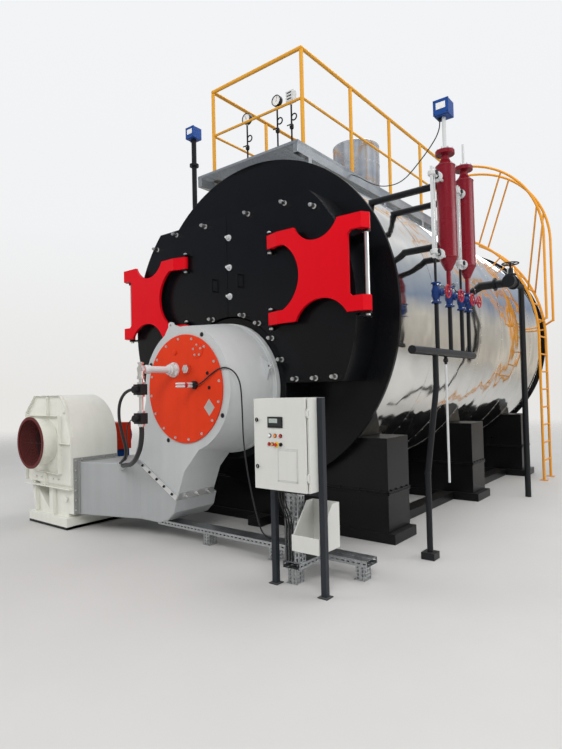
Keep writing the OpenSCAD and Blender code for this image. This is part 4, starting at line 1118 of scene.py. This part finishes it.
def slot_tree():
    tree, given, size = new_tree("slot_field", (
        ("Cell length", 0.05), ("Cell width", 0.05), ("Slot length", 0.028), ("Slot width", 0.009),
        ("Thickness", TRAY_SHEET)))
    edge = put(tree, "GeometryNodeCurvePrimitiveQuadrilateral", Width=size["Cell length"],
               Height=size["Cell width"])
    slot_edge = put(tree, "GeometryNodeCurvePrimitiveQuadrilateral", Width=size["Slot length"],
                    Height=size["Slot width"])
    corner = math_step(tree, "MULTIPLY", size["Slot width"], 0.49)
    ends = put(tree, "GeometryNodeFilletCurve", {"mode": "POLY"}, Curve=result(slot_edge), Radius=corner,
               Count=2)
    cut = joined(tree, result(ends), result(edge))
    face = put(tree, "GeometryNodeFillCurve", {"mode": "TRIANGLES"}, Curve=cut)
    thick = put(tree, "GeometryNodeExtrudeMesh", {"mode": "FACES"}, Mesh=result(face),
                Offset_Scale=size["Thickness"], Individual=False)
    back = put(tree, "GeometryNodeFlipFaces", Mesh=result(face))
    cell = joined(tree, result(thick, "Mesh"), result(back))
    whole = put(tree, "GeometryNodeMergeByDistance", Geometry=cell, Distance=0.00001)
    turn_to = put(tree, "FunctionNodeAlignRotationToVector", {"axis": "X", "pivot_axis": "Z"},
                  Rotation=leaning(tree), Vector=carried(tree, "along"))
    return spread(tree, given, result(whole), result(turn_to))


slots = slot_tree()
print("slot tree nodes:", len(slots.nodes))

# %% Cable trays
def punched(name, low, high, along, cell, slot_size, faces):
    low, high = Vector(low), Vector(high)
    run_axis = along.index(1)
    by_pitch = {}
    for axis, sign in faces:
        across = 3 - run_axis - axis
        counts = [max(1, round((high[i] - low[i]) / cell)) for i in (run_axis, across)]
        pitch = [(high[i] - low[i]) / count for i, count in zip((run_axis, across), counts)]
        out = Vector([0, 0, 0])
        out[axis] = sign
        for i in range(counts[0]):
            for j in range(counts[1]):
                spot = Vector([0, 0, 0])
                spot[run_axis] = low[run_axis] + pitch[0] * (i + 0.5)
                spot[across] = low[across] + pitch[1] * (j + 0.5)
                spot[axis] = (high[axis] if sign > 0 else low[axis]) - sign * TRAY_SHEET
                by_pitch.setdefault((round(pitch[0], 5), round(pitch[1], 5)), []).append((spot, out))
    for n, (pitch, found) in enumerate(by_pitch.items()):
        sizes = {"Cell length": pitch[0], "Cell width": pitch[1], "Slot length": slot_size[0],
                 "Slot width": slot_size[1], "Thickness": TRAY_SHEET}
        layers = {"out": [out for _, out in found], "along": [along] * len(found)}
        tray_parts.append(grown(name + "_" + str(n), slots, [spot for spot, _ in found], layers, sizes,
                                "zinc_steel", zinc_coat, nodes=("cable_trays",)))


tray_parts = []
X_WALLS, Y_WALLS, UNDERSIDE, TOP = [(0, -1), (0, 1)], [(1, -1), (1, 1)], [(2, -1)], [(2, 1)]
LEGS = ((0.06, -0.87), (0.90, -0.87), (1.78, -0.87), (1.39, -1.23))
RUN_SLOT = (0.028, 0.011)
punched("tray_left", (-0.60, -0.90, 0.12), (1.35, -0.74, 0.17), RIGHT, 0.05, RUN_SLOT,
        Y_WALLS + UNDERSIDE)
punched("tray_cross", (1.35, -1.24, 0.12), (1.51, -0.74, 0.17), BACK, 0.05, RUN_SLOT,
        X_WALLS + UNDERSIDE)
punched("tray_right", (1.51, -0.90, 0.12), (1.90, -0.74, 0.17), RIGHT, 0.05, RUN_SLOT,
        Y_WALLS + UNDERSIDE + TOP)
punched("tray_riser", (1.36, -1.225, 0.17), (1.50, -1.145, 0.76), UP, 0.040, (0.029, 0.020),
        X_WALLS + Y_WALLS)
for n, (x, y) in enumerate(LEGS):
    punched("tray_leg_" + str(n), (x, y, 0.0), (x + 0.08, y + 0.10, 0.12), UP, 0.034, (0.024, 0.017),
            X_WALLS + Y_WALLS)
work = bmesh.new()
brick(work, (-0.60, -0.898, 0.1680), (1.35, -0.742, 0.170))
brick(work, (1.352, -1.238, 0.1680), (1.508, -0.742, 0.170))
for x, y in LEGS:
    brick(work, (x - 0.02, y, 0.0), (x, y + 0.10, 0.004))
piece_of("tray_covers", work, [zinc_coat], "zinc_steel")
print("tray parts:", len(tray_parts), "faces:", sum(len(p.data.polygons) for p in tray_parts))

# %% [markdown]
# The polished cladding is wrapped on in sheets. Each lap is a band a few millimetres proud, closed by a row
# of small domed rivets. They break the long mirror into the real sheet widths.

# %% Cladding laps
SHELL_R = 1.755
LAPS = (0.95, 1.75, 2.38, 3.25, 4.05, 4.78, 5.45)


def rivet_tree():
    tree, given, size = new_tree("rivet_field", (("Rivet radius", 0.006), ("Rivet height", 0.003)))
    ball = put(tree, "GeometryNodeMeshUVSphere", Segments=8, Rings=4, Radius=1.0)
    flat = put(tree, "ShaderNodeCombineXYZ", X=size["Rivet radius"], Y=size["Rivet radius"],
               Z=size["Rivet height"])
    return spread(tree, given, result(ball, "Mesh"), leaning(tree), Scale=result(flat))


def rivet_ring(spots, ways, centre, other, radius, count):
    for a in around(count):
        out = Vector(RIGHT) * math.cos(a) + Vector(other) * math.sin(a)
        spots.append(Vector(centre) + out * radius)
        ways.append(tuple(out))


def riveted(name, spots, ways, radius):
    sizes = {"Rivet radius": radius, "Rivet height": 0.003}
    grown(name, rivets, spots, {"out": ways}, sizes, "bare_steel", bright_steel)


rivets = rivet_tree()
work = bmesh.new()
spots, ways = [], []
low, high = SHELL_R - 0.001, SHELL_R + 0.0025
for y in LAPS:
    band(work, [(low, 0.0), (high, 0.001), (high, 0.034), (low, 0.035)], (0, y, AXIS_Z), BACK, 180)
    rivet_ring(spots, ways, (0, y + 0.017, AXIS_Z), UP, high, 92)
piece_of("cladding_laps", work, [polished_sheet], "polished_steel")
riveted("cladding_rivets", spots, ways, 0.0055)
print("laps:", len(LAPS), "rivets:", len(spots))

# %% [markdown]
# Behind the doors is the tube plate, black with soot, where the fire tubes end. Each end stands a few
# millimetres out of the plate as a beaded ring. The tubes lie in a close triangular pattern over the whole
# chamber, clear of the burner mouth.

# %% Tube ends
PITCH = 0.098
CHAMBER_R, MOUTH_R = 1.44, 0.87
MIDDLE_Z, PLATE_FACE = 2.42, -0.027


def ring_tree():
    sizes = (("Ring radius", 0.030), ("Wall", 0.004), ("Proud", 0.008))
    tree, given, size = new_tree("ring_field", sizes)
    edge = put(tree, "GeometryNodeCurvePrimitiveCircle", Resolution=14, Radius=size["Ring radius"])
    section = put(tree, "GeometryNodeCurvePrimitiveQuadrilateral", Width=size["Wall"], Height=size["Proud"])
    ring = put(tree, "GeometryNodeCurveToMesh", Curve=result(edge), Profile_Curve=result(section))
    return spread(tree, given, result(ring), leaning(tree))


spots = []
for row in range(-18, 19):
    for col in range(-18, 19):
        x = PITCH * (col + (0.5 if row % 2 else 0.0))
        z = MIDDLE_Z + row * PITCH * 0.866
        inside = x * x + (z - AXIS_Z) ** 2 < CHAMBER_R ** 2 and 1.66 < z < 3.30
        if inside and x * x + (z - BURNER[1]) ** 2 > MOUTH_R ** 2 and abs(x) > 0.03:
            spots.append((x, PLATE_FACE, z))
grown("tube_ends", ring_tree(), spots, {"out": [FRONT] * len(spots)},
      {"Ring radius": 0.030, "Wall": 0.006, "Proud": 0.010}, "sooted_steel", tube_steel)
print("tube ends:", len(spots))

# %% [markdown]
# Two pressure gauges stand on the manifold. Each is a black case with a rolled rim, a white dial with 31
# marks round three quarters of a turn, and a thin needle on a bright hub, with the glass taken as perfectly
# clear. Under each gauge and under the pressure switch the stem has a loop and a small cock.

# %% Pressure gauges
STEM_Y = 0.300
GAUGES = ((-0.292, 4.81, 0.42), (0.179, 4.865, 0.55))
STEMS = ((-0.292, 4.56), (0.179, 4.62), (0.384, 4.60))


def radial(work, cx, cz, y, angle, inner, outer, wide, thick, mat):
    way = Vector((math.cos(angle), 0, math.sin(angle)))
    side = Vector((-way.z, 0, way.x)) * wide / 2
    at = Vector((cx, y, cz))
    corners = [at + way * inner - side, at + way * outer - side, at + way * outer + side,
               at + way * inner + side]
    plate(work, corners, (0, -thick, 0), mat)


work = bmesh.new()
for cx, cz, pressure in GAUGES:
    turned(work, [(0.058, 0.0), (0.065, 0.005), (0.065, 0.047), (0.0645, 0.053), (0.061, 0.055),
                  (0.058, 0.053), (0.057, 0.046), (0.0, 0.046)], (cx, 0.330, cz), FRONT, 48)
    rod(work, 0.0565, 0.001, (cx, 0.2838, cz), FRONT, 48, 1)
    for mark in range(31):
        inner, wide = (0.043, 0.0022) if mark % 5 == 0 else (0.047, 0.0011)
        radial(work, cx, cz, 0.2828, math.radians(225 - 9 * mark), inner, 0.053, wide, 0.0006, 0)
    radial(work, cx, cz, 0.2815, math.radians(225 - 270 * pressure), -0.014, 0.044, 0.0024, 0.0008, 0)
    turned(work, [(0.006, 0.0), (0.006, 0.003), (0.0, 0.004)], (cx, 0.2825, cz), FRONT, 16, 2)
    rod(work, 0.013, 0.022, (cx, STEM_Y, cz - 0.062), DOWN, 6, 2)
for cx, high in STEMS:
    bent(work, circle((cx + 0.036, STEM_Y, high), RIGHT, UP, 0.036, 28), 0.008, 10, closed=True)
    turned(work, [(0.0, 0.0), (0.018, 0.0), (0.024, 0.010), (0.024, 0.046), (0.018, 0.056), (0.0, 0.056)],
           (cx, STEM_Y, high - 0.130), UP, 20)
    rod(work, 0.007, 0.024, (cx, 0.278, high - 0.102), FRONT, 10, 2)
    brick(work, (cx - 0.030, 0.248, high - 0.107), (cx + 0.030, 0.255, high - 0.097))
piece_of("gauges", work, [cap_black, dial_face, bright_steel], "black_paint", ("pressure_gauges",))
work = bmesh.new()
brick(work, (0.336, 0.2615, 4.785), (0.432, 0.266, 4.895))
for z in (4.805, 4.840, 4.875):
    brick(work, (0.352, 0.2600, z - 0.008), (0.416, 0.2625, z + 0.008), 1)
rod(work, 0.014, 0.030, (0.384, STEM_Y, 4.775), DOWN, 6, 2)
piece_of("switch_front", work, [switch_white, dark_screen, bright_steel], "white_paint", width=0.0015)
print("gauges ready")

# %% [markdown]
# The level transmitters are small blue housings on stems. The lid has its own joint line and four screws,
# and a pale display looks to the front. A cable gland closes the underside. The one on the left stands on
# its own long black pipe, and the far water column carries a bare stem.

# %% Transmitter housings
COLUMN_X, COLUMN_YS, FLANGE_Z = 2.100, (0.440, 0.940), 3.750
LEFT_X, LEFT_Y, LEFT_TOP = -1.200, 0.260, 4.820


def housing(work, cx, cy, z):
    brick(work, (cx - 0.072, cy - 0.060, z), (cx + 0.072, cy + 0.072, z + 0.146))
    brick(work, (cx - 0.075, cy - 0.075, z + 0.003), (cx + 0.075, cy - 0.062, z + 0.150))
    brick(work, (cx - 0.046, cy - 0.0765, z + 0.055), (cx + 0.046, cy - 0.074, z + 0.118), 1)
    for dx in (-0.062, 0.062):
        for dz in (0.016, 0.137):
            rod(work, 0.006, 0.003, (cx + dx, cy - 0.0745, z + dz), FRONT, 12, 2)
    turned(work, [(0.020, 0.0), (0.020, 0.014), (0.014, 0.020), (0.0, 0.020)],
           (cx - 0.040, cy, z), DOWN, 12, 2)


work = bmesh.new()
for y, high, radius in ((COLUMN_YS[0], 4.080, 0.018), (COLUMN_YS[1], 3.990, 0.012)):
    turned(work, [(radius * 2.2, 0.0), (radius * 2.2, 0.030), (radius, 0.040), (radius, high - FLANGE_Z),
                  (0.0, high - FLANGE_Z)], (COLUMN_X, y, FLANGE_Z), UP, 20, 3)
housing(work, COLUMN_X, COLUMN_YS[0], 4.080)
piece_of("transmitters", work, [motor_blue, dial_face, cap_black, switch_white], "blue_paint",
         ("level_transmitters",), 0.004)
work = bmesh.new()
rod(work, 0.032, LEFT_TOP - 3.480, (LEFT_X, LEFT_Y, 3.480), UP, 24, 3)
for z in (4.460, 4.478):
    rod(work, 0.060, 0.014, (LEFT_X, LEFT_Y, z), UP, 28, 3)
housing(work, LEFT_X, LEFT_Y, LEFT_TOP)
piece_of("left_level_set", work, [motor_blue, dial_face, cap_black, pipe_black], "black_paint",
         ("left_level_pipe",), 0.004)
print("transmitters ready")

# %% [markdown]
# The water columns are gloss red drums with a weld bead at each end cone and a bolted flange on top. Beside
# each stands a level glass: a glass tube between two white tie bars, held by round cocks, over a black drain
# rod.

# %% Water columns and level glasses
GLASS_YS, JOINT_YS, GLASS_ZS = (0.120, 0.750), (0.222, 0.812), (2.720, 3.440)
QUARTERS = (45, 135, 225, 315)
work = bmesh.new()
for y in COLUMN_YS:
    for z, radius in ((2.720, 0.090), (3.600, 0.090), (3.660, 0.041)):
        bent(work, circle((COLUMN_X, y, z), RIGHT, BACK, radius, 40), 0.004, 8, closed=True)
piece_of("column_welds", work, [column_red], "dark_red_paint")
spots = [spot for y in COLUMN_YS for spot in circle((COLUMN_X, y, FLANGE_Z), RIGHT, BACK, 0.072, 8)]
bolted("column_bolts", spots, (0.010, 0.009, 0.013, 0.002, 0.006, 0.018), UP)
work = bmesh.new()
for y in GLASS_YS:
    for dy in (-0.021, 0.021):
        brick(work, (COLUMN_X - 0.012, y + dy - 0.008, 2.660), (COLUMN_X + 0.012, y + dy + 0.008, 3.500))
    rod(work, 0.0085, 0.72, (COLUMN_X, y, GLASS_ZS[0]), UP, 16, 1)
    for z in GLASS_ZS:
        turned(work, [(0.030, -0.025), (0.040, -0.017), (0.042, 0.0), (0.040, 0.017), (0.030, 0.025),
                      (0.0, 0.026)], (COLUMN_X, y, z), UP, 32)
        turned(work, [(0.022, 0.030), (0.022, 0.046), (0.016, 0.050), (0.0, 0.051)],
               (COLUMN_X, y, z), RIGHT, 20, 2)
    rod(work, 0.012, 0.22, (COLUMN_X, y, 2.440), UP, 16, 2)
joints = [(COLUMN_X, y, z) for y in JOINT_YS for z in GLASS_ZS]
for joint in joints:
    turned(work, [(0.0, 0.0), (0.046, 0.0), (0.048, 0.002), (0.048, 0.020), (0.046, 0.022), (0.0, 0.022)],
           joint, BACK, 32)
    turned(work, [(0.0, 0.0), (0.022, 0.0), (0.022, 0.010), (0.014, 0.014), (0.0, 0.014)], joint, FRONT, 6, 2)
piece_of("glasses", work, [switch_white, clear_glass, cap_black], "white_paint", ("level_glasses",))
spots = [spot for x, y, z in joints for spot in on_circle(x, z, 0.035, QUARTERS, y)]
bolted("glass_bolts", spots, (0.007, 0.006, 0.009, 0.001, 0.004, 0.010), slot="white_paint",
       finish=switch_white)
print("columns ready")

# %% [markdown]
# Four drain valves hang under the columns and the level glasses. Each is a cast blue globe body between two
# flanges, with its bonnet to the right and a spoked red hand wheel on the stem. The feed valve has a larger
# black wheel of the same kind. A thin pale drip tube hangs from a small cock under the drain header.

# %% Valves and hand wheels
DRAIN_YS, DRAIN_Z = (0.120, 0.440, 0.750, 0.940), 2.320
BONNET_Z = DRAIN_Z + 0.025
FEED = (2.050, 2.700, 2.820)


def hand_wheel(work, at, axis, rim_radius, thick):
    way = Vector(axis).normalized()
    side = way.orthogonal().normalized()
    other = way.cross(side)
    centre = Vector(at)
    bent(work, circle(centre, side, other, rim_radius, 36), thick, 10, closed=True)
    for a in around(5):
        out = side * math.cos(a) + other * math.sin(a)
        knee = centre + out * rim_radius * 0.5 - way * thick * 0.5
        bent(work, [centre, knee, centre + out * rim_radius], thick * 0.6, 8)
    turned(work, [(thick * 1.9, -thick), (thick * 1.9, thick), (0.0, thick)], centre, way, 16)
    turned(work, [(thick * 1.1, thick), (thick * 1.1, thick * 2.0), (0.0, thick * 2.0)], centre, way, 6, 1)


work = bmesh.new()
for y in DRAIN_YS:
    turned(work, [(0.045, 0.0), (0.045, 0.017), (0.029, 0.020), (0.030, 0.045), (0.041, 0.070),
                  (0.044, 0.095), (0.041, 0.120), (0.030, 0.145), (0.029, 0.170), (0.045, 0.173),
                  (0.045, 0.190), (0.0, 0.190)], (COLUMN_X, y, DRAIN_Z - 0.070), UP, 28)
    turned(work, [(0.030, 0.0), (0.030, 0.048), (0.037, 0.050), (0.037, 0.062), (0.024, 0.066),
                  (0.020, 0.082), (0.0, 0.083)], (COLUMN_X, y, BONNET_Z), RIGHT, 24)
    turned(work, [(0.008, 0.080), (0.008, 0.122), (0.0, 0.124)], (COLUMN_X, y, BONNET_Z), RIGHT, 12, 1)
piece_of("valve_bodies", work, [valve_blue, bright_steel], "blue_paint", ("drain_valves",), 0.0015, 1)
corners = [(0.037 * math.cos(math.radians(a)), 0.037 * math.sin(math.radians(a))) for a in QUARTERS]
spots = [(COLUMN_X + dx, y + dy, z) for y in DRAIN_YS for z in (DRAIN_Z - 0.053, DRAIN_Z + 0.103)
         for dx, dy in corners]
bolted("valve_bolts", spots, (0.007, 0.007, 0.009, 0.001, 0.004, 0.013),
       [UP if z < DRAIN_Z else DOWN for _, _, z in spots])
work = bmesh.new()
for y in DRAIN_YS:
    hand_wheel(work, (COLUMN_X + 0.112, y, BONNET_Z), RIGHT, 0.0555, 0.0065)
piece_of("wheels", work, [wheel_red, bright_steel], "red_paint", ("drain_wheels",))
work = bmesh.new()
turned(work, [(0.0, -0.006), (0.016, -0.006), (0.016, 0.014), (0.022, 0.020), (0.022, 0.046), (0.013, 0.054),
              (0.013, 0.070), (0.0, 0.070)], (COLUMN_X, 0.300, 1.774), DOWN, 20)
brick(work, (COLUMN_X - 0.006, 0.250, 1.738), (COLUMN_X + 0.006, 0.279, 1.746))
turned(work, [(0.0, 0.0), (0.0105, 0.0), (0.0105, 1.094), (0.0, 1.094)],
       (COLUMN_X, 0.300, 1.710), DOWN, 16, 1)
piece_of("drip_tube", work, [cap_black, switch_white], "white_paint")

work = bmesh.new()
rod(work, 0.055, FEED[0] + 0.02 - 1.645, (1.645, FEED[1], FEED[2]), RIGHT)
rod(work, 0.085, 0.024, (1.840, FEED[1], FEED[2]), RIGHT)
turned(work, [(0.080, -0.120), (0.080, -0.096), (0.056, -0.092), (0.060, -0.05), (0.074, 0.0), (0.060, 0.05),
              (0.056, 0.092), (0.080, 0.096), (0.080, 0.120), (0.0, 0.120)], FEED, BACK)
turned(work, [(0.055, 0.0), (0.055, 0.085), (0.068, 0.088), (0.068, 0.104), (0.030, 0.112), (0.022, 0.180),
              (0.013, 0.184), (0.013, 0.236), (0.0, 0.238)], FEED, UP, 28)
for dx in (-0.034, 0.034):
    turned(work, [(0.008, 0.10), (0.008, 0.19), (0.0, 0.19)], (FEED[0] + dx, FEED[1], FEED[2]), UP, 10, 1)
hand_wheel(work, (FEED[0], FEED[1], 3.060), UP, 0.100, 0.009)
piece_of("feed_valve_piece", work, [pipe_black, bright_steel], "black_paint", ("feed_valve",), 0.002, 1)
print("valves and wheels:", len(DRAIN_YS) + 1)

# %% [markdown]
# The fan's motor has a cast body with cooling fins all round, a smooth shield in front, a terminal box on
# top, and a ring grille behind. It sits on a welded box stand. An orange sheet hood, open underneath and
# behind, covers the motor's drive end, in line with the guard over the shaft, and has louvres on its sides.

# %% Fan motor
MOTOR_X, MOTOR_Z = -2.100, 0.960
HOOD_LOW, HOOD_HIGH, SHEET = (-2.272, -0.552, 0.790), (-1.928, -0.262, 1.128), 0.004
work = bmesh.new()
turned(work, [(0.060, 0.0), (0.140, 0.008), (0.152, 0.014), (0.152, 0.045), (0.138, 0.048), (0.138, 0.245),
              (0.150, 0.247), (0.158, 0.250), (0.158, 0.310), (0.150, 0.319), (0.0, 0.319)],
       (MOTOR_X, -0.550, MOTOR_Z), BACK, 48)
for fin in range(36):
    radial(work, MOTOR_X, MOTOR_Z, -0.305, math.radians(10 * fin + 5), 0.132, 0.156, 0.004, 0.196, 0)
for radius in (0.035, 0.060, 0.085, 0.110):
    bent(work, on_circle(MOTOR_X, MOTOR_Z, radius, range(0, 360, 12), -0.2305), 0.0028, 6, 1, closed=True)
for x0, x1, y0, y1, z0, z1 in ((-0.060, 0.060, -0.470, -0.350, 1.095, 1.118),
                               (-0.130, 0.130, -0.530, -0.250, 0.135, 0.150),
                               (-0.130, 0.130, -0.530, -0.250, 0.800, 0.815),
                               (-0.126, -0.114, -0.520, -0.260, 0.148, 0.802),
                               (0.114, 0.126, -0.520, -0.260, 0.148, 0.802),
                               (-0.114, 0.114, -0.515, -0.505, 0.148, 0.802),
                               (-0.114, 0.114, -0.275, -0.265, 0.148, 0.802),
                               (-0.128, -0.072, -0.500, -0.290, 0.813, 0.850),
                               (0.072, 0.128, -0.500, -0.290, 0.813, 0.850)):
    brick(work, (MOTOR_X + x0, y0, z0), (MOTOR_X + x1, y1, z1))
piece_of("motor", work, [motor_blue, cap_black], "blue_paint", ("fan_motor",), 0.002, 1)
work = bmesh.new()
brick(work, HOOD_LOW, (HOOD_LOW[0] + SHEET, HOOD_HIGH[1], HOOD_HIGH[2]))
brick(work, (HOOD_HIGH[0] - SHEET, HOOD_LOW[1], HOOD_LOW[2]), HOOD_HIGH)
brick(work, (HOOD_LOW[0], HOOD_LOW[1], HOOD_HIGH[2] - SHEET), HOOD_HIGH)
for side in (HOOD_LOW[0] - 0.004, HOOD_HIGH[0] + 0.001):
    for n in range(4):
        brick(work, (side, -0.500, 0.860 + 0.045 * n), (side + 0.003, -0.320, 0.872 + 0.045 * n))
piece_of("coupling_hood", work, [guard_orange], "orange_paint", width=0.003, steps=1)
print("motor ready")

# %% [markdown]
# The steam outlet on top is lagged and clad in bright sheet. The sheet laps in three bands with small
# rivets, and one upright seam closes it at the back.

# %% Outlet cladding
OUTLET_R = 0.340
work = bmesh.new()
spots, ways = [], []
low, high = OUTLET_R - 0.001, OUTLET_R + 0.003
for z in (4.45, 4.76, 5.035):
    band(work, [(low, 0.0), (high, 0.001), (high, 0.028), (low, 0.029)], (0, OUTLET_Y, z), UP, 72)
    rivet_ring(spots, ways, (0, OUTLET_Y, z + 0.014), BACK, high, 28)
piece_of("outlet_bands", work, [lagging_sheet], "lagging_sheet")
for k in range(14):
    spots.append((0, OUTLET_Y + OUTLET_R + 0.002, 4.19 + 0.061 * k))
    ways.append(BACK)
riveted("outlet_rivets", spots, ways, 0.005)
bolted("collar_bolts", circle((0, OUTLET_Y, 4.140), RIGHT, BACK, 0.348, 16),
       (0.010, 0.008, 0.0075, 0.002, 0.005, 0.013), UP)
print("outlet ready")

# %% [markdown]
# The control cabinet's door carries a small display in a dark frame, three signal lamps, four operators
# under them, two quarter-turn latches on the left, and a clear sleeve for the log sheet. They all ride on
# the door.

# %% Cabinet door fittings
DOOR_FACE = -1.453
LAMP_Z, KNOB_Z, LATCH_X = 1.163, 1.100, 1.305
work = bmesh.new()
brick(work, (1.405, DOOR_FACE - 0.007, 1.222), (1.545, DOOR_FACE, 1.303))
brick(work, (1.413, DOOR_FACE - 0.0082, 1.234), (1.537, DOOR_FACE - 0.0068, 1.295), 1)
brick(work, (1.419, DOOR_FACE - 0.0086, 1.258), (1.500, DOOR_FACE - 0.0081, 1.290), 2)
for x, mat in ((1.421, 3), (1.472, 4), (1.524, 5)):
    at = (x, DOOR_FACE, LAMP_Z)
    turned(work, [(0.0150, 0.0), (0.0150, 0.004), (0.0125, 0.006), (0.0, 0.006)], at, FRONT, 28)
    turned(work, [(0.0115, 0.005), (0.0115, 0.011), (0.008, 0.015), (0.0, 0.016)], at, FRONT, 28, mat)
for x in (1.414, 1.446, 1.526):
    turned(work, [(0.0140, 0.0), (0.0140, 0.005), (0.0118, 0.007), (0.0, 0.007)],
           (x, DOOR_FACE, KNOB_Z), FRONT, 28)
for x, mat in ((1.414, 5), (1.446, 4)):
    turned(work, [(0.0105, 0.006), (0.0105, 0.011), (0.0, 0.012)], (x, DOOR_FACE, KNOB_Z), FRONT, 28, mat)
rod(work, 0.0205, 0.004, (1.484, DOOR_FACE, 1.098), FRONT, 32, 6)
turned(work, [(0.008, 0.004), (0.008, 0.012), (0.0135, 0.014), (0.0135, 0.018), (0.010, 0.022),
              (0.0, 0.0225)], (1.484, DOOR_FACE, 1.098), FRONT, 28, 5)
brick(work, (1.5225, DOOR_FACE - 0.020, 1.089), (1.5295, DOOR_FACE - 0.006, 1.111))
piece_of("door_panel", work, [cap_black, dark_screen, screen_glow, lamp_white, lamp_amber, lamp_red,
                              button_yellow], "black_paint", ("cabinet_panel",), 0.0008, 1, "cabinet_leaf")
work = bmesh.new()
for z in (0.930, 1.280):
    rod(work, 0.0165, 0.0018, (LATCH_X, DOOR_FACE - 0.0120, z), FRONT, 28)
    radial(work, LATCH_X, z, DOOR_FACE - 0.0135, math.radians(90), -0.010, 0.010, 0.003, 0.0012, 1)
brick(work, (1.493, DOOR_FACE - 0.0022, 0.830), (1.675, DOOR_FACE, 1.072), 2)
for x0, z0, x1, z1 in ((1.493, 0.830, 1.500, 1.072), (1.668, 0.830, 1.675, 1.072),
                       (1.493, 0.830, 1.675, 0.837)):
    brick(work, (x0, DOOR_FACE - 0.0036, z0), (x1, DOOR_FACE - 0.0018, z1), 2)
brick(work, (1.503, DOOR_FACE - 0.0030, 0.842), (1.664, DOOR_FACE - 0.0021, 1.052), 3)
piece_of("door_fittings", work, [cap_black, bright_steel, sleeve_film, cabinet_cream], "black_paint",
         body="cabinet_leaf")
print("door fittings ready")

# %% [markdown]
# The saddles are welded boxes in two storeys. A flat joint strip with bolts runs round each where the
# storeys meet. The rear cover is closed by studs as the doors are.

# %% Saddle joints and rear studs
SADDLES = ((0.150, 0.610), (2.500, 2.960), (4.850, 5.310))
BOLT_Z = 0.496
STRIP_IN, STRIP_OUT, STRIP_HIGH = 1.548, 1.562, 0.014
REAR_FACE = 5.860
work = bmesh.new()
spots = []
for y0, y1 in SADDLES:
    for z in (0.462, 0.482):
        brick(work, (-STRIP_OUT, y0 - 0.012, z), (STRIP_OUT, y0 + 0.002, z + STRIP_HIGH))
        brick(work, (-STRIP_OUT, y1 - 0.002, z), (STRIP_OUT, y1 + 0.012, z + STRIP_HIGH))
        for x0, x1 in ((-STRIP_OUT, -STRIP_IN), (STRIP_IN, STRIP_OUT)):
            brick(work, (x0, y0 - 0.012, z), (x1, y1 + 0.012, z + STRIP_HIGH))
    spots += [(x, y0 + 0.06 + (y1 - y0 - 0.12) * n / 3, BOLT_Z) for x in (-1.556, 1.556) for n in range(4)]
    spots += [(-1.46 + 2.92 * n / 13, y0 - 0.006, BOLT_Z) for n in range(14)]
piece_of("saddle_strips", work, [base_black], "black_paint", width=0.002, steps=1)
bolted("saddle_bolts", spots, (0.010, 0.009, 0.0055, 0.002, 0.005, 0.016), UP, slot="black_paint",
       finish=base_black)
spots = on_circle(0, AXIS_Z, 1.5, [*range(-22, 47, 11), *range(136, 205, 11)], REAR_FACE)
spots += [(x, REAR_FACE, 3.330) for x in (-0.90, -0.60, -0.30, 0.0, 0.30, 0.60, 0.90)]
bolted("rear_studs", spots, (0.021, 0.014, 0.027, 0.003, 0.0115, 0.022), BACK)
print("saddle bolts and rear studs ready")
